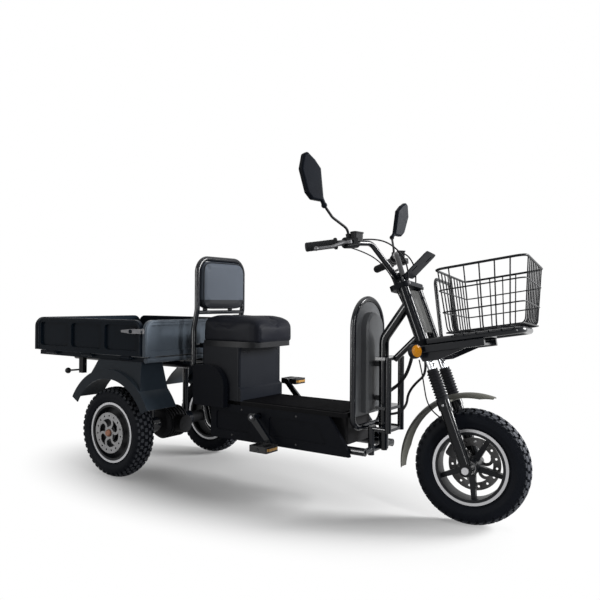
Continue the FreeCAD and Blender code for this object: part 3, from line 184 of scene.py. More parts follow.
VIEW_TURN = radians(34.72)
VIEW_DIP = radians(-0.08)
VIEW_ROLL = radians(0.42)
VIEW_PLACE = Vector((1.8969, -2.4475, 0.8358))
FOCAL_PIXELS = 668.0
PICTURE_PIXELS = 600.0
view_forward = Vector((-sin(VIEW_TURN) * cos(VIEW_DIP), cos(VIEW_TURN) * cos(VIEW_DIP), -sin(VIEW_DIP)))
level_right = Vector((cos(VIEW_TURN), sin(VIEW_TURN), 0))
level_up = level_right.cross(view_forward)
view_right = cos(VIEW_ROLL) * level_right + sin(VIEW_ROLL) * level_up
view_up = cos(VIEW_ROLL) * level_up - sin(VIEW_ROLL) * level_right
camera = add_object("camera", bpy.data.cameras.new("camera"))
camera.data.sensor_width = 36.0
camera.data.lens = camera.data.sensor_width * FOCAL_PIXELS / PICTURE_PIXELS
camera.matrix_world = Matrix((view_right, view_up, -view_forward)).transposed().to_4x4()
camera.location = VIEW_PLACE
bpy.context.scene.camera = camera


# Frame steelwork: the head and mast, floor rails, cross members, crowns, rack, handlebar and the
# seat hoop are welded steel tube and plate, sprayed black and baked, with dust on what faces up.

def ink(red, green, blue):
    return (red, green, blue, 1.0)


def noise(place, scale, detail=3.0):
    return place.node("ShaderNodeTexNoise", {}, {"Vector": place, "Scale": scale, "Detail": detail})


def mixed(factor, first, second):
    return factor.node("ShaderNodeMix", {"data_type": "RGBA"}, {0: factor, 6: first, 7: second}, 2)


def facing_up(place):
    normal = place.node("ShaderNodeNewGeometry", output="Normal")
    return place.node("ShaderNodeSeparateXYZ", {}, {0: normal}, "Z")


def set_finish(material, values, relief=None, depth=0.0005):
    shader = material.node_tree.nodes["Principled BSDF"]
    wires = Socket(material.node_tree)
    wires.feed(shader.inputs, values)
    if relief is not None:
        bump = relief.node("ShaderNodeBump", {}, {"Height": relief, "Distance": depth})
        wires.feed(shader.inputs, {"Normal": bump})
    return material


DUST = ink(0.11, 0.105, 0.10)


def enamel(name, deep, worn, gloss, specular=0.08, dust=0.1, coat=0.0):
    """Sprayed and baked paint: faint clouds, orange peel, and a film of dust on upward faces."""
    material, place = bare_finish(name)
    clouds = noise(place, 11.0)
    film = step_up(facing_up(place), 0.6, 1.0) * noise(place, 34.0, 6.0) * dust
    return set_finish(material, {
        "Base Color": mixed(film, mixed(clouds, deep, worn), DUST),
        "Roughness": gloss + 0.08 * noise(place, 23.0, 5.0) + 0.4 * film,
        "Specular IOR Level": specular,
        "Coat Weight": coat,
        "Coat Roughness": 0.08,
    }, noise(place, 380.0, 1.0), 0.00006)


def dress(finish, *names):
    for name in names:
        for slot in frame["nodes"][name].material_slots:
            slot.material = finish


dress(
    enamel("frame enamel", ink(0.0030, 0.0040, 0.0065), ink(0.006, 0.0075, 0.011), 0.15, 0.24, 0.04, 0.06),
    "front_frame", "frame_rail_left", "frame_rail_right", "frame_crossbars", "backrest_hoop", "shield_hoop",
    "rack", "handlebar", "crankset",
)
dress(
    enamel("crown enamel", ink(0.004, 0.005, 0.007), ink(0.009, 0.010, 0.013), 0.4, 0.03, 0.02),
    "fork_upper_crown", "fork_lower_crown",
)


# Rear axle case: one iron casting with cooling fins that holds the motor and gears, left in a rough
# sprayed black. The battery case under the floor is ribbed black plastic of about the same dullness.

def rough_casting(name, deep, worn):
    material, place = bare_finish(name)
    pits = noise(place, 260.0, 4.0)
    return set_finish(material, {
        "Base Color": mixed(noise(place, 14.0, 5.0), deep, worn),
        "Roughness": 0.52 + 0.25 * pits,
        "Specular IOR Level": 0.1,
    }, pits, 0.0006)


iron_black = rough_casting("axle case casting", ink(0.006, 0.0065, 0.008), ink(0.014, 0.014, 0.015))
dress(iron_black, "rear_axle_case")
dress(rough_casting("battery case", ink(0.008, 0.008, 0.009), ink(0.012, 0.012, 0.013)), "battery_pack")


# Wheels: knobbly tubeless tyres on cast rims. Each rim is sprayed black and then its lip is turned
# bright in a lathe. The brake discs are drilled stainless plate held by a hub nut.

FRONT_HUB = Vector(joints["front_wheel_spin"]["pos_m"])
FRONT_SPIN = Vector(joints["front_wheel_spin"]["axis"])
REAR_HUBS = {
    side: Vector(joints["rear_" + side + "_wheel_spin"]["pos_m"]) for side in ("right", "left")
}
REAR_SPIN = Vector((0, 1, 0))
FRONT_RADIUS = 0.217
FRONT_WIDTH = 0.100
REAR_RADIUS = 0.212
REAR_WIDTH = 0.104
TREAD_HALF = 0.045
TREAD_SAG = 0.014
TREAD_BLOCKS = 42


def add_piece(name, vertices, faces, finish, body, slot, sharp=35.0):
    """A mesh with its faces turned outward, creased where they meet at more than the sharp angle."""
    mesh = bpy.data.meshes.new(name)
    mesh.from_pydata([tuple(vertex) for vertex in vertices], [], faces)
    mesh.validate()
    settle = bmesh.new()
    settle.from_mesh(mesh)
    bmesh.ops.recalc_face_normals(settle, faces=settle.faces)
    settle.to_mesh(mesh)
    settle.free()
    mesh.shade_smooth()
    mesh.set_sharp_from_angle(angle=radians(sharp))
    mesh.materials.append(finish)
    piece = add_object(name, mesh)
    if body:
        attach(piece, body)
    return piece


def skinned(rings, around=False):
    """Skin over rings of equally many points. Its two ends are capped, or the last ring joins the first."""
    count = len(rings[0])
    vertices = [point for ring in rings for point in ring]
    faces = []
    if not around:
        faces = [tuple(reversed(range(count))), tuple(range(len(vertices) - count, len(vertices)))]
    for level in range(len(rings) if around else len(rings) - 1):
        low = level * count
        high = (level + 1) % len(rings) * count
        for index in range(count):
            after = (index + 1) % count
            faces.append((low + index, low + after, high + after, high + index))
    return vertices, faces


def off_axle(place, hub, spin):
    """Distance of the shaded point from a wheel's axle line."""
    offset = vector_maths("SUBTRACT", place, tuple(hub))
    return vector_maths("LENGTH", vector_maths("CROSS_PRODUCT", offset, tuple(spin)), output="Value")


def wheel_place(hub, spin):
    """Local frame of a wheel: Y along the axle, Z up."""
    forward = spin.cross(Vector((0, 0, 1))).normalized()
    up = forward.cross(spin)
    turn = Matrix((forward, spin, up)).transposed().to_4x4()
    return Matrix.Translation(hub) @ turn


def tyre_rubber(name, hub, spin, radius):
    material, place = bare_finish(name)
    offset = vector_maths("SUBTRACT", place, tuple(hub))
    aside = vector_maths("DOT_PRODUCT", offset, tuple(spin), "Value") * (1 / TREAD_HALF)
    block_top = off_axle(place, hub, spin) + TREAD_SAG * aside * aside
    # Block tops are lightened: partly real scuffing and dust, partly a painted highlight for the light that
    # catches the tread lugs.
    scuff_and_sheen = step_up(block_top, radius - 0.004, radius - 0.0005) * (0.3 + 0.7 * noise(place, 60.0, 5.0))
    bloom = noise(place, 18.0, 6.0)
    rubber = mixed(bloom, ink(0.0040, 0.0050, 0.0075), ink(0.009, 0.0105, 0.0145))
    grain = noise(place, 900.0, 2.0)
    return set_finish(material, {
        "Base Color": mixed(scuff_and_sheen, rubber, ink(0.085, 0.090, 0.102)),
        "Roughness": 0.5 + 0.2 * bloom,
        "Specular IOR Level": 0.04,
    }, grain, 0.0002)


def tyre_mesh(radius, width, rows):
    """Carcass turned about the axle, with tread blocks in staggered rows standing on it."""
    half = width / 2
    block_height = 0.0075
    bead = 0.0355
    flange = 0.141
    shoulder = half - 0.006
    shoulder_radius = radius - TREAD_SAG
    steps = 144

    def crown(side):
        return radius - TREAD_SAG * (side / shoulder) ** 2

    bulge = (flange + shoulder_radius) / 2
    wall = [
        (bead, 0.127), (bead, flange), (half - 0.0075, flange + 0.008), (half - 0.0055, flange + 0.010),
        (half - 0.0042, flange + 0.0155), (half - 0.0012, bulge - 0.006), (half - 0.0004, bulge - 0.004),
        (half, bulge), (half - 0.0004, bulge + 0.010), (half - 0.003, shoulder_radius - 0.014),
        (shoulder - 0.0015, shoulder_radius - 0.006),
    ]
    lane = 9
    top = [(shoulder * (1 - 2 * index / lane), crown(shoulder * (1 - 2 * index / lane)) - block_height)
           for index in range(lane + 1)]
    profile = wall + top + [(-side, distance) for side, distance in reversed(wall)]

    def on_wheel(angle, side, distance):
        return Vector((sin(angle) * distance, side, cos(angle) * distance))

    rings = []
    for step in range(steps):
        angle = tau * step / steps
        rings.append([on_wheel(angle, side, distance) for side, distance in profile])
    vertices, faces = skinned(rings, True)

    def add_block(angle, length, inner, outer, skew):
        """One tread block between two side offsets, a little narrower at its top."""
        taper = 0.0011
        sides = [inner + (outer - inner) * share for share in (0, 0.5, 1)]
        first = len(vertices)
        for raised in (False, True):
            for side in sides:
                for end in (-1, 1):
                    reach = end * (length / 2 - (taper if raised else 0)) / radius
                    edge = side
                    if raised and side in (sides[0], sides[2]):
                        edge = side + (taper if side == sides[0] else -taper) * (1 if outer > inner else -1)
                    turn = angle + reach + skew * side / radius
                    clipped = min(abs(edge), half)
                    over = max(0.0, clipped - shoulder)
                    distance = crown(min(clipped, shoulder)) - over * 2.6
                    if not raised:
                        distance -= block_height + 0.002
                    vertices.append(on_wheel(turn, edge, distance))
        low = [first + index for index in range(6)]
        high = [first + 6 + index for index in range(6)]
        faces.extend([
            (high[0], high[1], high[3], high[2]), (high[2], high[3], high[5], high[4]),
            (low[0], low[1], high[1], high[0]), (low[5], low[4], high[4], high[5]),
            (low[2], low[0], high[0], high[2]), (low[4], low[2], high[2], high[4]),
            (low[1], low[3], high[3], high[1]), (low[3], low[5], high[5], high[3]),
        ])

    for inner, outer, shift, length, skew in rows:
        for block in range(TREAD_BLOCKS):
            add_block(tau * (block + shift) / TREAD_BLOCKS, length, inner, outer, skew)
            add_block(tau * (block + shift + 0.5) / TREAD_BLOCKS, length, -inner, -outer, -skew)
    return vertices, faces


def add_tyre(name, hub, spin, radius, width, rows, body):
    """Each row of blocks is given as its inner and outer side offset, shift, block length and skew."""
    vertices, faces = tyre_mesh(radius, width, rows)
    place = wheel_place(hub, spin)
    finish = tyre_rubber(name + " rubber", hub, spin, radius)
    placed = [place @ vertex for vertex in vertices]
    tyre = add_piece(name + "_tread", placed, faces, finish, body, "tyre_rubber", 28.0)
    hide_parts(name)


FRONT_ROWS = (
    (0.003, 0.019, 0.0, 0.0215, 0.25), (0.022, 0.0375, 0.5, 0.0235, -0.2), (0.0395, 0.0478, 0.0, 0.0205, 0.0),
)
REAR_ROWS = (
    (0.003, 0.0185, 0.0, 0.020, 0.0), (0.0225, 0.036, 0.5, 0.019, 0.0), (0.0395, 0.0495, 0.0, 0.019, 0.0),
)
add_tyre("front_tyre", FRONT_HUB, FRONT_SPIN, FRONT_RADIUS, FRONT_WIDTH, FRONT_ROWS, "front_wheel")
for side, hub in REAR_HUBS.items():
    wheel = "rear_" + side + "_wheel"
    add_tyre("rear_" + side + "_tyre", hub, REAR_SPIN, REAR_RADIUS, REAR_WIDTH, REAR_ROWS, wheel)


def turning_marks(distance, scale):
    """Fine rings that a lathe or grinder leaves, by the distance from the axle."""
    return distance.node("ShaderNodeTexNoise", {"noise_dimensions": "1D"}, {"W": distance, "Scale": scale})


def rim_finish(name, hub, spin, hub_shine):
    """Black paint with a lathe-turned bright lip and hub face, and fine turning marks on them."""
    material, place = bare_finish(name)
    distance = off_axle(place, hub, spin)
    lip = step_up(distance, 0.1300, 0.1312)
    bright = lip + (1.0 - step_up(distance, 0.0235, 0.0245)) * hub_shine
    marks = turning_marks(distance, 2600.0)
    paint = mixed(noise(place, 20.0, 4.0), ink(0.004, 0.005, 0.007), ink(0.010, 0.011, 0.013))
    metal = mixed(marks, ink(0.22, 0.22, 0.23), ink(0.46, 0.46, 0.47))
    return set_finish(material, {
        "Base Color": mixed(bright, paint, metal),
        "Metallic": bright * 0.9,
        "Roughness": 0.34 + 0.08 * marks,
        "Specular IOR Level": 0.15,
    }, marks, 0.00004)


def disc_steel(name, hub, spin, soot_share):
    """Stainless plate with circular grinding marks and brake dust, held by a nut in yellow zinc."""
    material, place = bare_finish(name)
    distance = off_axle(place, hub, spin)
    marks = turning_marks(distance, 3400.0)
    steel = mixed(marks, ink(0.17, 0.17, 0.175), ink(0.36, 0.36, 0.365))
    soot = noise(place, 45.0, 5.0) * 0.3 + soot_share
    nut = 1.0 - step_up(distance, 0.0172, 0.0178)
    plate = mixed(soot, steel, ink(0.024, 0.023, 0.022))
    return set_finish(material, {
        "Base Color": mixed(nut, plate, ink(0.15, 0.07, 0.045)),
        "Metallic": 0.85,
        "Roughness": 0.36 + 0.18 * marks,
    }, marks, 0.00005)


dress(rim_finish("front rim", FRONT_HUB, FRONT_SPIN, 1.0), "front_rim")
dress(disc_steel("front disc", FRONT_HUB, FRONT_SPIN, 0.62), "front_brake_disc")
for side, hub in REAR_HUBS.items():
    dress(rim_finish("rear rim " + side, hub, REAR_SPIN, 0.0), "rear_" + side + "_rim")
    dress(disc_steel("rear disc " + side, hub, REAR_SPIN, 0.3), "rear_" + side + "_brake_disc")


# Telescopic fork: enamelled covers over the fixed chrome tubes, cast sliding legs, a pressed fender and a
# pressed apron sheet between the covers. A bellows of moulded rubber keeps dirt off each bare tube; on the
# real fork it closes up as the fork dives.

STEER_UP = Vector(joints["steer"]["axis"])
FORK_FORWARD = FRONT_SPIN.cross(STEER_UP)
LEG_SIDE = 0.095
LEG_FORWARD = 0.026
FORK_FOOT = FRONT_HUB - FORK_FORWARD * LEG_FORWARD
LEG_SIDES = {"right": -LEG_SIDE, "left": LEG_SIDE}
LEG_MOUTH = 0.262
BOOT_TOP = 0.385
CROWN_FOOT = 0.454


def fork_at(forward, side, along):
    return FORK_FOOT + FORK_FORWARD * forward + FRONT_SPIN * side + STEER_UP * along


def turned_mesh(profile, foot, axis, steps=48):
    """Closed ring of (radius, along) pairs turned about an axis."""
    across = axis.orthogonal().normalized()
    beside = axis.cross(across)
    rings = []
    for step in range(steps):
        angle = tau * step / steps
        reach = across * cos(angle) + beside * sin(angle)
        rings.append([foot + axis * along + reach * radius for radius, along in profile])
    return skinned(rings, True)


def moulded_rubber(name, deep, bloom, specular=0.1):
    material, place = bare_finish(name)
    haze = noise(place, 26.0, 6.0)
    return set_finish(material, {
        "Base Color": mixed(haze, deep, bloom),
        "Roughness": 0.55 + 0.25 * haze,
        "Specular IOR Level": specular,
    }, noise(place, 1100.0, 2.0), 0.00015)


boot_rubber = moulded_rubber("boot rubber", ink(0.0055, 0.006, 0.008), ink(0.013, 0.0135, 0.016))
BOOT_RIBS = 9
BOOT_CUFF = 0.011
BOOT_LENGTH = BOOT_TOP - LEG_MOUTH
rib_pitch = (BOOT_LENGTH - 2 * BOOT_CUFF) / BOOT_RIBS
rib_section = ((0.0200, 0.10), (0.0243, 0.38), (0.0248, 0.50), (0.0243, 0.62), (0.0200, 0.90))
bellows = [(0.0160, 0.0), (0.0235, 0.0), (0.0240, 0.010), (0.0200, BOOT_CUFF)]
for rib in range(BOOT_RIBS):
    bellows += [(radius, BOOT_CUFF + (rib + share) * rib_pitch) for radius, share in rib_section]
bellows += [(0.0205, BOOT_LENGTH - 0.010), (0.0205, BOOT_LENGTH), (0.0160, BOOT_LENGTH)]
for label, side in LEG_SIDES.items():
    mouth = fork_at(LEG_FORWARD, side, LEG_MOUTH)
    vertices, faces = turned_mesh(bellows, mouth, STEER_UP)
    boot = add_piece(label + "_fork_boot", vertices, faces, boot_rubber, None, "boot_rubber", 60.0)
    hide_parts("fork_boots")
    crown_end = fork_at(LEG_FORWARD, side, BOOT_TOP)
    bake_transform(boot)


def fork_tube_finish(name):
    """Gloss enamel on the covers, and hard chrome on the bare tube that shows below the lower crown."""
    material, place = bare_finish(name)
    offset = vector_maths("SUBTRACT", place, tuple(FORK_FOOT))
    along = vector_maths("DOT_PRODUCT", offset, tuple(STEER_UP), "Value")
    bare = 1.0 - step_up(along, CROWN_FOOT, CROWN_FOOT + 0.001)
    paint = mixed(noise(place, 11.0), ink(0.004, 0.005, 0.0075), ink(0.008, 0.0095, 0.013))
    return set_finish(material, {
        "Base Color": mixed(bare, paint, ink(0.55, 0.56, 0.58)),
        "Metallic": bare,
        "Roughness": 0.08 + 0.08 * noise(place, 23.0, 5.0),
        "Specular IOR Level": 0.12,
    }, noise(place, 380.0, 1.0), 0.00006)


dress(fork_tube_finish("fork tubes"), "fork_tubes")
dress(
    enamel("fork leg enamel", ink(0.003, 0.004, 0.0055), ink(0.006, 0.007, 0.009), 0.12, 0.16, 0.02, 0.04),
    "fork_lower_legs",
)
dress(
    enamel("front fender olive", ink(0.046, 0.046, 0.038), ink(0.085, 0.084, 0.070), 0.42, 0.15, 0.1),
    "front_fender",
)

APRON_LOW = 0.528
APRON_HIGH = 0.702
APRON_SHEET = 0.003
apron_half = ((0.024, 0.074), (0.038, 0.056), (0.042, 0.036), (0.045, 0.030))
apron_front = [(forward, -side) for forward, side in apron_half] + list(reversed(apron_half))
apron_loop = apron_front + [(forward - APRON_SHEET, side) for forward, side in reversed(apron_front)]
apron_rings = [
    [fork_at(forward, side, along) for forward, side in apron_loop] for along in (APRON_LOW, APRON_HIGH)
]
apron_enamel = enamel("apron enamel", ink(0.022, 0.023, 0.022), ink(0.035, 0.036, 0.034), 0.4, 0.06, 0.1)
add_piece("fork_apron", *skinned(apron_rings), apron_enamel, "steering", "fender_olive", 25.0)


def cast_alloy(name, deep, bright, metallic=0.9):
    """Sand-cast and tumbled alloy with a grainy skin."""
    material, place = bare_finish(name)
    grain = noise(place, 420.0, 4.0)
    return set_finish(material, {
        "Base Color": mixed(noise(place, 40.0, 5.0), deep, bright),
        "Metallic": metallic,
        "Roughness": 0.36 + 0.2 * grain,
    }, grain, 0.00012)


dress(cast_alloy("axle steel", ink(0.22, 0.22, 0.23), ink(0.40, 0.40, 0.41)), "front_axle")
caliper_alloy = cast_alloy("caliper casting", ink(0.020, 0.020, 0.022), ink(0.045, 0.045, 0.047), 0.4)
dress(caliper_alloy, "front_brake_caliper")


# Handlebar dress: ribbed rubber grips, moulded switch and master-cylinder bodies, forged levers, and
# two mirrors whose silvered glass sits in a black moulded shell.

PARKED_STEER = radians(9.5)
AXLE_X = 0.996
parked = (Matrix.Translation(FORK_FOOT) @ Matrix.Rotation(PARKED_STEER, 4, STEER_UP)
          @ Matrix.Translation(-FORK_FOOT) @ Matrix.Translation((AXLE_X, 0, 0)))
GRIP_BEND = Vector((-0.435, -0.309, 1.034))
BAR_END = Vector((-0.540, -0.387, 1.010))
GRIP_LENGTH = 0.112


def mirrored(point):
    return Vector((point.x, -point.y, point.z))


grip_rubber = moulded_rubber("grip rubber", ink(0.008, 0.0085, 0.010), ink(0.019, 0.020, 0.022))
grip_profile = [(0.0112, 0.0), (0.0220, 0.0), (0.0220, 0.0060), (0.0205, 0.0085), (0.0172, 0.0100)]
GRIP_RINGS = 17
for ring in range(GRIP_RINGS):
    low = 0.013 + ring * 0.0055
    grip_profile += [(0.0160, low), (0.0172, low + 0.0012), (0.0172, low + 0.0036), (0.0160, low + 0.0048)]
grip_profile += [(0.0172, 0.1085), (0.0172, 0.114), (0.0155, 0.1175), (0.0010, 0.1180), (0.0010, 0.1175)]
outward = (BAR_END - GRIP_BEND).normalized()
grip_start = BAR_END - outward * GRIP_LENGTH
for node, body, start, way in (
    ("throttle_grip", "throttle", grip_start, outward),
    ("left_grip", "steering", mirrored(grip_start), mirrored(outward)),
):
    vertices, faces = turned_mesh(grip_profile, start, way)
    placed = [parked @ vertex for vertex in vertices]
    grip = add_piece(node + "_rubber", placed, faces, grip_rubber, body, "grip_rubber", 40.0)
    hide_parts(node)


def moulded_plastic(name, deep, light, gloss=0.42, specular=0.1):
    """Injection-moulded plastic with a fine spark-eroded grain."""
    material, place = bare_finish(name)
    grain = noise(place, 1400.0, 2.0)
    return set_finish(material, {
        "Base Color": mixed(noise(place, 16.0, 4.0), deep, light),
        "Roughness": gloss + 0.14 * noise(place, 55.0, 4.0),
        "Specular IOR Level": specular,
    }, grain, 0.0001)


control_plastic = moulded_plastic("control plastic", ink(0.005, 0.0055, 0.007), ink(0.011, 0.0115, 0.013))
dress(control_plastic, "bar_controls")
lever_finish = cast_alloy("forged lever", ink(0.05, 0.05, 0.053), ink(0.11, 0.11, 0.115), 0.7)
dress(lever_finish, "right_brake_lever", "left_brake_lever")
dress(
    moulded_plastic("mirror shell", ink(0.003, 0.004, 0.0065), ink(0.006, 0.008, 0.0125), 0.36, 0.03),
    "right_mirror", "left_mirror",
)

MIRROR_BALL = Vector((-0.474, -0.395, 1.160))
MIRROR_CORNERS = (
    (-0.009, 0.012), (-0.028, 0.130), (-0.056, 0.157), (-0.092, 0.180), (-0.108, 0.168), (-0.117, 0.114),
    (-0.087, 0.034), (-0.062, 0.012),
)
GLASS_SHARE = 0.9
silvering, silver_place = bare_finish("mirror silvering")
smear = noise(silver_place, 30.0, 5.0)
set_finish(silvering, {
    "Base Color": ink(0.72, 0.74, 0.76),
    "Metallic": 1.0,
    "Roughness": 0.02 + 0.05 * smear,
})


def add_mirror_glass(label, side, turn):
    """Plate glass with a ground edge, let into the flat back of a mirror shell, where it has no face."""
    middle_across = sum(across for across, height in MIRROR_CORNERS) / len(MIRROR_CORNERS)
    middle_height = sum(height for across, height in MIRROR_CORNERS) / len(MIRROR_CORNERS)
    rings = []
    for depth, share in ((-0.0055, GLASS_SHARE), (-0.0068, GLASS_SHARE), (-0.0075, GLASS_SHARE - 0.03)):
        ring = []
        for across, height in MIRROR_CORNERS:
            spot = Vector((depth, middle_across + (across - middle_across) * share,
                           middle_height + (height - middle_height) * share))
            hung = Matrix.Rotation(radians(turn), 4, "Z") @ spot + MIRROR_BALL
            ring.append(parked @ (hung if side < 0 else mirrored(hung)))
        rings.append(ring)
    vertices, faces = skinned(rings)
    mirror = label + "_mirror"
    add_piece(mirror + "_glass", vertices, faces[1:], silvering, mirror, "mirror_shell", 20.0)


add_mirror_glass("right", -1, -28.0)
add_mirror_glass("left", 1, 17.5)


# Wire basket: drawn steel wire, spot-welded at each crossing, with a thicker rim wire all round and a
# black plastic dip coat. It lies on the rack's cross tubes.

RACK_FOOT = Vector((-0.204, 0, 0.638))
RACK_TILT = radians(9.4)
BASKET_FOOT = Vector((0.150, 0, 0.0445))
rack_frame = parked @ Matrix.Translation(RACK_FOOT) @ Matrix.Rotation(-RACK_TILT, 4, "Y")
basket_frame = rack_frame @ Matrix.Translation(BASKET_FOOT)
BASKET_DEPTH = 0.234
WIRE_THICK = 0.0052
RIM_WIRE_THICK = 0.009
FLOOR_HALF_WIDTH = 0.2235
RIM_HALF_WIDTH = 0.2555
FLOOR_LENGTH = 0.2735
RIM_LENGTH = 0.3195
WALL_INSET = 0.0025


def basket_ring(height, bend):
    """Closed loop round the basket at one height, with its four corners rounded."""
    share = height / BASKET_DEPTH
    back = WALL_INSET
    front = FLOOR_LENGTH + (RIM_LENGTH - FLOOR_LENGTH) * share
    half = FLOOR_HALF_WIDTH + (RIM_HALF_WIDTH - FLOOR_HALF_WIDTH) * share
    points = []
    for x, y, first in ((front, half, 0), (back, half, 90), (back, -half, 180), (front, -half, 270)):
        centre = Vector((x - bend if x == front else x + bend, y - bend if y > 0 else y + bend, height))
        for turn in range(5):
            angle = radians(first + 22.5 * turn)
            points.append(centre + Vector((cos(angle), sin(angle), 0)) * bend)
    return points


def lay_spline(curve, kind, route):
    spline = curve.splines.new(kind)
    spline.points.add(len(route) - 1)
    for point, spot in zip(spline.points, route):
        point.co = (spot.x, spot.y, spot.z, 1.0)
    return spline


def add_wires(name, routes, thickness, closed, finish, body):
    """Wires as one curve object; each route is a list of points in the frame."""
    curve = bpy.data.curves.new(name, "CURVE")
    curve.dimensions = "3D"
    curve.bevel_depth = thickness / 2
    curve.bevel_resolution = 2
    curve.use_fill_caps = True
    for route in routes:
        spline = lay_spline(curve, "POLY", route)
        spline.use_cyclic_u = closed
        spline.use_smooth = True
    curve.materials.append(finish)
    wires = add_object(name, curve)
    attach(wires, body)
    return wires


wire_coat = moulded_plastic("dipped wire coat", ink(0.005, 0.0055, 0.007), ink(0.010, 0.011, 0.013), 0.32)


def add_basket_wires(name, routes, thickness, closed):
    placed = [[basket_frame @ point for point in route] for route in routes]
    return add_wires(name, placed, thickness, closed, wire_coat, "steering")


rim_loop = basket_ring(BASKET_DEPTH - 0.002, 0.034)
rim_wire = add_basket_wires("basket_rim_wire", [rim_loop], RIM_WIRE_THICK, True)
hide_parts("basket_right", "basket_left", "basket_front", "basket_back")
hoops = [basket_ring(height, 0.026) for height in (0.006, 0.079, 0.157)]
add_basket_wires("basket_hoop_wires", hoops, WIRE_THICK, True)


def bent_wire(corners):
    """A wire through its corner points, with a round bend at each one between its ends."""
    bend = 0.022
    route = [corners[0]]
    for before, corner, after in zip(corners, corners[1:], corners[2:]):
        start = corner + (before - corner).normalized() * bend
        end = corner + (after - corner).normalized() * bend
        for share in (0, 0.25, 0.5, 0.75, 1):
            route.append(start.lerp(corner, share).lerp(corner.lerp(end, share), share))
    return route + [corners[-1]]


SIDE_BAYS = 6
FRONT_BAYS = 10
CROSS_LEVEL = 0.0035
LENGTH_LEVEL = 0.0065
staves = []
for bay in range(1, SIDE_BAYS):
    share = bay / SIDE_BAYS
    top = Vector((RIM_LENGTH * share, -RIM_HALF_WIDTH, BASKET_DEPTH))
    foot = Vector((FLOOR_LENGTH * share, -FLOOR_HALF_WIDTH, CROSS_LEVEL))
    staves.append(bent_wire([top, foot, mirrored(foot), mirrored(top)]))
for bay in range(1, FRONT_BAYS):
    across = 2 * bay / FRONT_BAYS - 1
    staves.append(bent_wire([
        Vector((WALL_INSET, RIM_HALF_WIDTH * across, BASKET_DEPTH)),
        Vector((WALL_INSET, FLOOR_HALF_WIDTH * across, LENGTH_LEVEL)),
        Vector((FLOOR_LENGTH, FLOOR_HALF_WIDTH * across, LENGTH_LEVEL)),
        Vector((RIM_LENGTH, RIM_HALF_WIDTH * across, BASKET_DEPTH)),
    ]))
stave_wires = add_basket_wires("basket_stave_wires", staves, WIRE_THICK, False)
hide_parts("basket_floor")


# Leg shield, floor and lower body: a pressed shield panel, a floor board, a folded sheet seat box and
# moulded side covers with a leather-like grain, over the steel floor frame.

def leather_grain(place, scale):
    return place.node("ShaderNodeTexVoronoi", {"feature": "SMOOTH_F1"}, {"Vector": place, "Scale": scale})


def grained_cover(name, deep, light, gloss):
    material, place = bare_finish(name)
    film = step_up(facing_up(place), 0.5, 1.0) * noise(place, 28.0, 6.0) * 0.1
    return set_finish(material, {
        "Base Color": mixed(film, mixed(noise(place, 8.0, 5.0), deep, light), DUST),
        "Roughness": gloss + 0.2 * noise(place, 40.0, 5.0),
        "Specular IOR Level": 0.03,
    }, leather_grain(place, 620.0), 0.00022)


side_cover_finish = grained_cover("side cover", ink(0.004, 0.005, 0.0075), ink(0.008, 0.009, 0.0125), 0.42)
dress(side_cover_finish, "side_cover_right", "side_cover_left")
# The shield panel's dark blue-grey enamel is painted much paler than its own colour, as a painted sheen of
# the front light on its forward face.
shield_enamel_painted_sheen = enamel("shield panel", ink(0.068, 0.071, 0.075), ink(0.095, 0.099, 0.104), 0.3, 0.12, 0.05)
dress(shield_enamel_painted_sheen, "shield_panel")
dress(grained_cover("floor mat", ink(0.006, 0.006, 0.007), ink(0.013, 0.013, 0.014), 0.6), "floor_board")
dress(enamel("seat box", ink(0.003, 0.004, 0.007), ink(0.006, 0.0075, 0.011), 0.36, 0.07, 0.05), "seat_box")


# Floor mat: one moulded rubber sheet with lengthwise ribs, so that a shoe does not slip. It lies loose on
# the floor board between the side covers.

FLOOR_LEVEL = 0.386
MAT_FRONT = 0.512
MAT_REAR = -0.006
MAT_HALF = 0.138
MAT_RIBS = 17
MAT_FOOT = 0.0002
MAT_WEB = 0.0022
MAT_RIB = 0.0046
mat_rubber = moulded_rubber("mat rubber", ink(0.003, 0.003, 0.004), ink(0.007, 0.007, 0.008), 0.02)
rib_step = 2 * MAT_HALF / MAT_RIBS
mat_section = ((0.18, MAT_WEB), (0.32, MAT_RIB), (0.68, MAT_RIB), (0.82, MAT_WEB))
mat_profile = [(-MAT_HALF, MAT_FOOT), (-MAT_HALF, MAT_WEB)]
for rib in range(MAT_RIBS):
    mat_profile += [(-MAT_HALF + (rib + share) * rib_step, height) for share, height in mat_section]
mat_profile += [(MAT_HALF, MAT_WEB), (MAT_HALF, MAT_FOOT)]
mat_rings = [[Vector((x, y, FLOOR_LEVEL + z)) for y, z in mat_profile] for x in (MAT_FRONT, MAT_REAR)]
add_piece("floor_mat", *skinned(mat_rings), mat_rubber, "chassis", "floor_mat", 30.0)


# Seat and backrest pad: moulded foam under stretched vinyl. The seat's is stapled to a base pan with a
# deep plastic rim and two hinge knuckles, and the pad's is sewn with a welt round its front panel.

def vinyl(name, deep, light):
    material, place = bare_finish(name)
    creases = leather_grain(place, 430.0)
    rubbed = noise(place, 9.0, 6.0)
    return set_finish(material, {
        "Base Color": mixed(rubbed, deep, light),
        "Roughness": 0.44 + 0.16 * rubbed + 0.06 * creases,
        "Specular IOR Level": 0.07,
    }, creases, 0.0003)


def rounded_ring(middle, reach, rise, corner, steps=40, foot=None):
    """Upright loop of points on a rounded square: corner 1 is an ellipse and 0 a true rectangle.
    foot is the same for the lower two corners, where they differ from the upper two."""
    ring = []
    for step in range(steps):
        angle = tau * (step + 0.5) / steps
        bend = corner if foot is None or sin(angle) > 0 else foot
        side = abs(cos(angle)) ** bend * (1 if cos(angle) > 0 else -1)
        height = abs(sin(angle)) ** bend * (1 if sin(angle) > 0 else -1)
        ring.append(middle + Vector((0, side * reach, height * rise)))
    return ring


SKIN_GRAIN = 0.005
SETTLE_FRAMES = 20


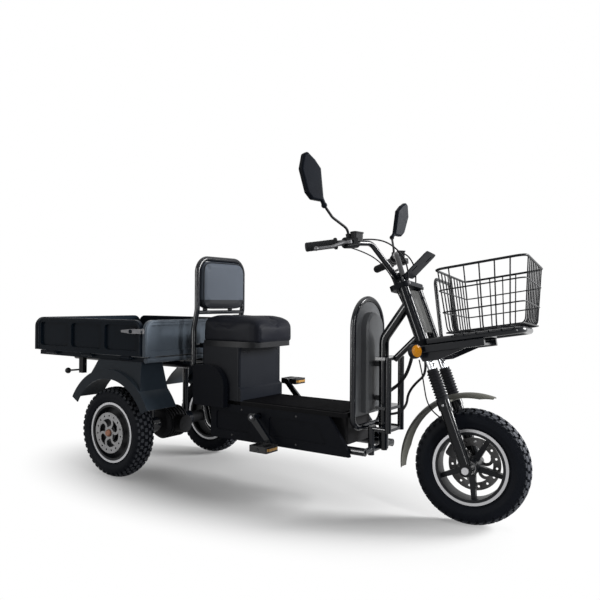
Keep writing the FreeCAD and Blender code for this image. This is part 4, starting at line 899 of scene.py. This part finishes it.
def stuffed(piece, pressure, cap, held):
    """Fill a cover: a fine skin, held at its staples, is blown up as cloth, but by no more than the cap."""
    skin = piece.modifiers.new("skin", "REMESH")
    skin.mode = "VOXEL"
    skin.voxel_size = SKIN_GRAIN
    resting = bpy.data.meshes.new_from_object(piece.evaluated_get(bpy.context.evaluated_depsgraph_get()))
    piece.modifiers.clear()
    piece.data = resting
    before = [vertex.co.copy() for vertex in resting.vertices]
    staples = piece.vertex_groups.new(name="staples")
    staples.add([index for index, spot in enumerate(before) if held(spot)], 1.0, "REPLACE")
    cover = piece.modifiers.new("cover", "CLOTH")
    cover.settings.use_pressure = True
    cover.settings.uniform_pressure_force = pressure
    cover.settings.vertex_group_mass = "staples"
    cover.settings.bending_stiffness = 12.0
    cover.settings.effector_weights.gravity = 0.0
    for moment in range(1, SETTLE_FRAMES + 1):
        bpy.context.scene.frame_set(moment)
    blown = piece.evaluated_get(bpy.context.evaluated_depsgraph_get())
    after = [vertex.co.copy() for vertex in blown.data.vertices]
    piece.modifiers.clear()
    bpy.context.scene.frame_set(1)
    for vertex, start, end in zip(resting.vertices, before, after):
        move = end - start
        vertex.co = start + move * min(1.0, cap / max(move.length, 1e-9))
    finer = piece.modifiers.new("finer", "SUBSURF")
    finer.levels = 1
    finer.render_levels = 1
    piece.data.shade_smooth()


SEAT_BOTTOM = 0.6445
SEAT_STATIONS = (
    (-0.2460, 0.128, 0.668, 0.738),
    (-0.2410, 0.140, 0.650, 0.752),
    (-0.2300, 0.149, SEAT_BOTTOM, 0.762),
    (-0.1340, 0.153, SEAT_BOTTOM, 0.758),
    (-0.0340, 0.149, SEAT_BOTTOM, 0.760),
    (0.0240, 0.141, SEAT_BOTTOM, 0.759),
    (0.0500, 0.133, SEAT_BOTTOM, 0.751),
    (0.0640, 0.124, 0.648, 0.738),
    (0.0720, 0.110, 0.662, 0.716),
)
seat_vinyl = vinyl("seat vinyl", ink(0.0030, 0.0036, 0.0065), ink(0.0060, 0.0070, 0.0115))
seat_rings = [
    rounded_ring(Vector((x, 0, (low + high) / 2)), half, (high - low) / 2, 0.42, foot=0.14)
    for x, half, low, high in SEAT_STATIONS
]
seat_cover = add_piece("seat_cover", *skinned(seat_rings), seat_vinyl, None, "seat_vinyl")
stuffed(seat_cover, 4.0, 0.006, lambda spot: spot.z < SEAT_BOTTOM + 0.006)
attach(seat_cover, "seat")
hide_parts("seat")

SEAT_RIM_LOW = 0.626
SEAT_RIM_HIGH = 0.652
SEAT_RIM_WALL = 0.0035
SEAT_CENTRE_X = -0.088
rim_outline = [Vector((x, -half, 0)) for x, half in (
    (-0.244, 0.100), (-0.243, 0.136), (-0.236, 0.150), (-0.220, 0.157), (-0.134, 0.159), (-0.034, 0.157),
    (0.024, 0.144), (0.048, 0.133), (0.060, 0.118), (0.064, 0.090), (0.065, 0.045),
)]
rim_outline += [mirrored(spot) for spot in reversed(rim_outline)]
rim_rings = []
for inset, height in (
    (0.0, SEAT_RIM_LOW), (0.0, SEAT_RIM_HIGH), (SEAT_RIM_WALL, SEAT_RIM_HIGH), (SEAT_RIM_WALL, SEAT_RIM_LOW),
):
    ring = []
    for spot in rim_outline:
        inward = Vector((SEAT_CENTRE_X - spot.x, -spot.y, 0)).normalized()
        ring.append(spot + inward * inset + Vector((0, 0, height)))
    rim_rings.append(ring)
rim_plastic = moulded_plastic("seat pan plastic", ink(0.006, 0.0065, 0.008), ink(0.012, 0.0125, 0.014), 0.36)
add_piece("seat_pan_rim", *skinned(rim_rings, True), rim_plastic, "seat", "seat_vinyl", 50.0)


def merged(parts):
    """Several pairs of vertices and faces as one."""
    vertices = []
    faces = []
    for points, sides in parts:
        faces += [tuple(len(vertices) + index for index in side) for side in sides]
        vertices += points
    return vertices, faces


knuckle_steel = cast_alloy("hinge steel", ink(0.05, 0.05, 0.053), ink(0.12, 0.12, 0.125), 0.8)
SEAT_HINGE = Vector(joints["seat_tilt"]["pos_m"])
KNUCKLE_HALF = 0.012
KNUCKLE_BORE = 0.0042
KNUCKLE_RADIUS = 0.0078
LEAF_HALF = 0.005
barrel = [
    (KNUCKLE_BORE, -KNUCKLE_HALF), (KNUCKLE_RADIUS, -KNUCKLE_HALF),
    (KNUCKLE_RADIUS, KNUCKLE_HALF), (KNUCKLE_BORE, KNUCKLE_HALF),
]
for label, side in (("right", -0.050), ("left", 0.050)):
    middle = SEAT_HINGE + Vector((0, side, 0))
    leaf_rings = []
    for z in (SEAT_HINGE.z + 0.0065, SEAT_BOTTOM + 0.003):
        corners = [(middle.x + x * LEAF_HALF, middle.y + y * KNUCKLE_HALF, z) for x, y in SQUARE]
        leaf_rings.append([Vector(corner) for corner in corners])
    knuckle = merged([turned_mesh(barrel, middle, Vector((0, 1, 0)), 24), skinned(leaf_rings)])
    add_piece(label + "_seat_knuckle", *knuckle, knuckle_steel, "seat", "axle_steel")

PAD_FRONT = -0.2425
PAD_BACK = -0.2835
PAD_MIDDLE = 0.907
PAD_SHEEN_LINE = 0.838
pad_vinyl, pad_place = bare_finish("pad vinyl")
pad_creases = leather_grain(pad_place, 430.0)
pad_rubbed = noise(pad_place, 9.0, 6.0)
pad_height = pad_place.node("ShaderNodeSeparateXYZ", {}, {0: pad_place}, "Z")
# Painted sheen: the pad's vinyl is painted far paler above a level line, standing in for the light on its
# upper front; below the line it keeps its plain dark colour.
pad_sheen_share = step_up(pad_height, PAD_SHEEN_LINE - 0.001, PAD_SHEEN_LINE + 0.001)
pad_dark = mixed(pad_rubbed, ink(0.008, 0.009, 0.011), ink(0.014, 0.015, 0.018))
pad_painted_sheen = mixed(pad_rubbed, ink(0.048, 0.058, 0.074), ink(0.068, 0.080, 0.100))
set_finish(pad_vinyl, {
    "Base Color": mixed(pad_sheen_share, pad_dark, pad_painted_sheen),
    "Roughness": 0.46 + 0.14 * pad_rubbed,
    "Specular IOR Level": 0.1,
}, pad_creases, 0.0003)
pad_rings = [
    rounded_ring(Vector((x, 0, PAD_MIDDLE)), half, rise, 0.3)
    for x, half, rise in (
        (PAD_BACK, 0.141, 0.104), (PAD_BACK + 0.003, 0.1485, 0.1115), (PAD_FRONT - 0.012, 0.1495, 0.1125),
        (PAD_FRONT - 0.004, 0.147, 0.110), (PAD_FRONT, 0.139, 0.102),
    )
]
pad_cover = add_piece("pad_cover", *skinned(pad_rings), pad_vinyl, None, "seat_vinyl")
stuffed(pad_cover, 3.0, 0.003, lambda spot: spot.x < PAD_FRONT - 0.010)
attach(pad_cover, "chassis")
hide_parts("backrest_pad")
welt_vinyl = vinyl("welt vinyl", ink(0.006, 0.007, 0.009), ink(0.012, 0.0135, 0.017))
pad_welt = rounded_ring(Vector((PAD_FRONT - 0.002, 0, PAD_MIDDLE)), 0.1435, 0.1065, 0.3, 72)
add_wires("pad_welt", [pad_welt], 0.005, True, welt_vinyl, "chassis")


# Cargo bed: folded sheet-steel panels with sunk bays, hinged to a sheet tray, in a blue-black enamel. The
# fixed front panel has the same enamel painted paler, as a painted sheen of light on its forward face. The
# latches are dull zinc-plated hooks, and the rear fenders are pressed sheet.

dress(
    enamel("bed enamel", ink(0.005, 0.009, 0.015), ink(0.009, 0.014, 0.021), 0.28, 0.04, 0.08),
    "bed_platform", "bed_left_panel", "bed_right_panel", "bed_tail_panel",
)
# Painted sheen: the front panel's enamel is painted paler than the rest of the bed, for the light on its
# forward face.
dress(
    enamel("bed front enamel", ink(0.080, 0.098, 0.122), ink(0.115, 0.140, 0.168), 0.28, 0.12, 0.08),
    "bed_front_panel",
)
dress(
    enamel("rear fender enamel", ink(0.015, 0.021, 0.029), ink(0.025, 0.034, 0.044), 0.26, 0.08, 0.06),
    "rear_fender_right", "rear_fender_left",
)
latch_zinc = cast_alloy("latch zinc", ink(0.05, 0.05, 0.055), ink(0.12, 0.12, 0.125), 0.7)
dress(latch_zinc, "right_latch", "left_latch")


# Pedals and lamps: moulded pedals with a reflector let into each end, and round front signals whose
# ribbed amber lens is clipped into a black cup. The rear signals are all black.

REFLECTOR_END = 0.0455
REFLECTOR_HALF = 0.0050
CUP_DEPTH = 0.0262
LENS_RADIUS = 0.0222


def lens_prisms(place, scale):
    return place.node("ShaderNodeTexVoronoi", {"distance": "CHEBYCHEV"}, {"Vector": place, "Scale": scale})


def pedal_finish(name, centre):
    """Black plastic, with an amber band across each end."""
    material, place = bare_finish(name)
    offset = vector_maths("ABSOLUTE", vector_maths("SUBTRACT", place, tuple(centre)))
    along = offset.node("ShaderNodeSeparateXYZ", {}, {0: offset}, "X")
    height = offset.node("ShaderNodeSeparateXYZ", {}, {0: offset}, "Z")
    prisms = lens_prisms(place, 420.0)
    band = 1.0 - step_up(height, REFLECTOR_HALF, REFLECTOR_HALF + 0.0006)
    reflector = step_up(along, REFLECTOR_END, REFLECTOR_END + 0.0005) * band
    plastic = mixed(noise(place, 16.0, 4.0), ink(0.006, 0.006, 0.007), ink(0.012, 0.012, 0.013))
    lens = mixed(prisms, ink(0.42, 0.24, 0.06), ink(0.26, 0.12, 0.02))
    return set_finish(material, {
        "Base Color": mixed(reflector, plastic, lens),
        "Roughness": 0.4 - 0.25 * reflector,
        "Specular IOR Level": 0.2,
    }, prisms * reflector, 0.0003)


for label in ("right", "left"):
    pedal_centre = Vector(joints[label + "_pedal_spin"]["pos_m"])
    dress(pedal_finish(label + " pedal", pedal_centre), label + "_pedal")


def signal_finish(name, feet):
    """Amber in front of each cup's mouth, black behind it. feet pairs each cup's foot with its direction."""
    material, place = bare_finish(name)
    ribs = lens_prisms(place, 260.0)
    lens = 0.0
    for foot, way in feet:
        offset = vector_maths("SUBTRACT", place, tuple(foot))
        depth = vector_maths("DOT_PRODUCT", offset, tuple(way), "Value")
        within = 1.0 - step_up(off_axle(place, foot, way), LENS_RADIUS, LENS_RADIUS + 0.0006)
        lens = place.math("MAXIMUM", lens, step_up(depth, CUP_DEPTH, CUP_DEPTH + 0.0006) * within)
    amber = mixed(ribs, ink(0.60, 0.24, 0.006), ink(0.40, 0.14, 0.003))
    return set_finish(material, {
        "Base Color": mixed(lens, ink(0.008, 0.008, 0.009), amber),
        "Roughness": 0.34 - 0.2 * lens + 0.1 * ribs,
        "Specular IOR Level": 0.12,
    }, ribs * lens, 0.0004)


SIGNAL_FOOT = Vector((0.004, -0.169, 0.0))
SIGNAL_SPLAY = radians(35.0)
SIGNAL_WAY = Vector((cos(SIGNAL_SPLAY), -sin(SIGNAL_SPLAY), 0.0))
signal_feet = []
for foot, way in ((SIGNAL_FOOT, SIGNAL_WAY), (mirrored(SIGNAL_FOOT), mirrored(SIGNAL_WAY))):
    signal_feet.append((rack_frame @ foot, rack_frame.to_3x3() @ way))
dress(signal_finish("front signals", signal_feet), "front_signals")
dress(
    moulded_plastic("rear signal plastic", ink(0.006, 0.006, 0.007), ink(0.012, 0.012, 0.013), 0.3),
    "rear_signals",
)


# Cords: the brake hoses and the throttle cable hang in bows from the bar controls to the crowns, and a thin
# hose goes on to the right leg. Two sleeved looms run to the frame, and one of them starts at the fork.

sleeve = moulded_rubber("cord sleeve", ink(0.006, 0.006, 0.0075), ink(0.013, 0.013, 0.015))


def add_cord(name, route, diameter, body):
    """A smooth cord on the route's points, as long as its own line. One that crosses a joint has no body."""
    curve = bpy.data.curves.new(name, "CURVE")
    curve.dimensions = "3D"
    spline = lay_spline(curve, "NURBS", [Vector(spot) for spot in route])
    spline.order_u = 3
    spline.use_endpoint_u = True
    spline.resolution_u = 8
    cord = add_object(name, curve)
    line = bpy.data.meshes.new_from_object(cord)
    curve.bevel_depth = diameter / 2
    curve.bevel_resolution = 3
    curve.materials.append(sleeve)
    if body:
        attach(cord, body)
    else:
        tube = bpy.data.meshes.new_from_object(cord)
        bpy.data.objects.remove(cord)
        cord = add_object(name, tube)
    return cord


def off_the_bar(spots):
    return [parked @ Vector(spot) for spot in spots]


RIGHT_HOSE = (
    (-0.405, -0.232, 1.054), (-0.372, -0.190, 1.066), (-0.318, -0.120, 1.062), (-0.268, -0.066, 1.010),
    (-0.252, -0.052, 0.940), (-0.262, -0.046, 0.880), (-0.232, -0.040, 0.810), (-0.206, -0.038, 0.740),
)
LEFT_HOSE = (
    (-0.405, 0.232, 1.054), (-0.366, 0.186, 1.060), (-0.312, 0.128, 1.040), (-0.266, 0.078, 0.985),
    (-0.254, 0.058, 0.920), (-0.258, 0.050, 0.870), (-0.228, 0.042, 0.800), (-0.204, 0.040, 0.735),
)
THROTTLE_CABLE = (
    (-0.428, -0.285, 1.024), (-0.398, -0.215, 1.018), (-0.352, -0.130, 0.990), (-0.312, -0.080, 0.930),
    (-0.300, -0.062, 0.880), (-0.270, -0.052, 0.820),
)
LEG_HOSE = (
    (0.806, -0.062, 0.612), (0.818, -0.060, 0.560), (0.827, -0.060, 0.510), (0.838, -0.062, 0.455),
    (0.868, -0.066, 0.412), fork_at(0.004, -0.080, 0.190),
)
FRAME_LOOM = (
    (0.748, 0.000, 0.622), (0.735, -0.004, 0.560), (0.697, -0.008, 0.504), (0.655, -0.010, 0.475),
    (0.626, -0.008, 0.440), (0.622, -0.004, 0.400),
)
CROSS_CABLE = (
    fork_at(0.0, -0.030, 0.452), (0.828, -0.030, 0.560), (0.772, -0.028, 0.512), (0.744, -0.030, 0.470),
    (0.742, -0.034, 0.430), (0.716, -0.046, 0.392), (0.676, -0.055, 0.388),
)
add_cord("right_brake_hose", off_the_bar(RIGHT_HOSE), 0.006, "steering")
add_cord("left_brake_hose", off_the_bar(LEFT_HOSE), 0.006, "steering")
leg_hose = add_cord("leg_hose", LEG_HOSE, 0.005, None)
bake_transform(leg_hose)
add_cord("frame_loom", FRAME_LOOM, 0.014, "chassis")
cross_cable = add_cord("cross_cable", CROSS_CABLE, 0.010, None)
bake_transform(cross_cable)
add_cord("throttle_cable", off_the_bar(THROTTLE_CABLE), 0.005, "steering")


# Fasteners: button-head bolts with a sunk socket, zinc-plated on the fork and the crank, and black on the
# side covers and the seat box. They are screwed up to the face they stand on.

bolt_zinc = cast_alloy("bolt zinc", ink(0.16, 0.16, 0.165), ink(0.34, 0.34, 0.35))
bolt_black = cast_alloy("bolt black oxide", ink(0.010, 0.010, 0.011), ink(0.022, 0.022, 0.024), 0.5)


def add_bolts(name, places, radius, body, finish):
    """Button heads standing on the given points, each along its own direction."""
    socket = radius * 0.5
    head = [(0.0, 0.55), (socket * 0.9, 0.55), (socket, 0.62), (socket, 0.95), (radius * 0.7, 0.8),
            (radius * 0.92, 0.45), (radius, 0.1), (radius * 0.98, -0.3), (0.0, -0.3)]
    profile = [(max(reach, 0.0001), along * radius * 0.6) for reach, along in head]
    bolts = merged([turned_mesh(profile, spot, way.normalized(), 18) for spot, way in places])
    add_piece(name, *bolts, finish, body, "axle_steel", 40.0)


def on_both_sides(x, reach, z):
    """A bolt on the right face and one on the left, both at the same reach from the middle."""
    return [(Vector((x, way * reach, z)), Vector((0, way, 0))) for way in (-1, 1)]


COVER_FACE = 0.152
CRANK_FACE = 0.2075
BOX_FACE = -0.017
COLLAR_HEIGHT = 0.245
COLLAR_RADIUS = 0.0248
CROWN_FACE = 0.054
cover_bolts = []
for x, z in ((-0.005, 0.350), (-0.060, 0.232), (0.290, 0.232), (0.290, 0.350)):
    cover_bolts += on_both_sides(x, COVER_FACE, z)
add_bolts("cover_bolts", cover_bolts, 0.0055, "chassis", bolt_black)
crank_axle = Vector(joints["crank_spin"]["pos_m"])
crank_bolts = on_both_sides(crank_axle.x, CRANK_FACE, crank_axle.z)
add_bolts("crank_bolts", crank_bolts, 0.009, "crankset", bolt_zinc)
box_bolts = [(Vector((BOX_FACE, across, 0.606)), Vector((1, 0, 0))) for across in (-0.125, -0.095, 0.125)]
add_bolts("seat_box_bolts", box_bolts, 0.0045, "chassis", bolt_black)
leg_bolts = []
crown_bolts = []
for side in LEG_SIDES.values():
    way = FRONT_SPIN * (1 if side > 0 else -1)
    leg_bolts.append((fork_at(LEG_FORWARD, side, COLLAR_HEIGHT) + way * COLLAR_RADIUS, way))
    crown_bolts += [(fork_at(CROWN_FACE, side, along), FORK_FORWARD) for along in (0.4775, 0.726)]
add_bolts("leg_collar_bolts", leg_bolts, 0.005, "fork_lower", bolt_zinc)
add_bolts("crown_pinch_bolts", crown_bolts, 0.006, "steering", bolt_zinc)
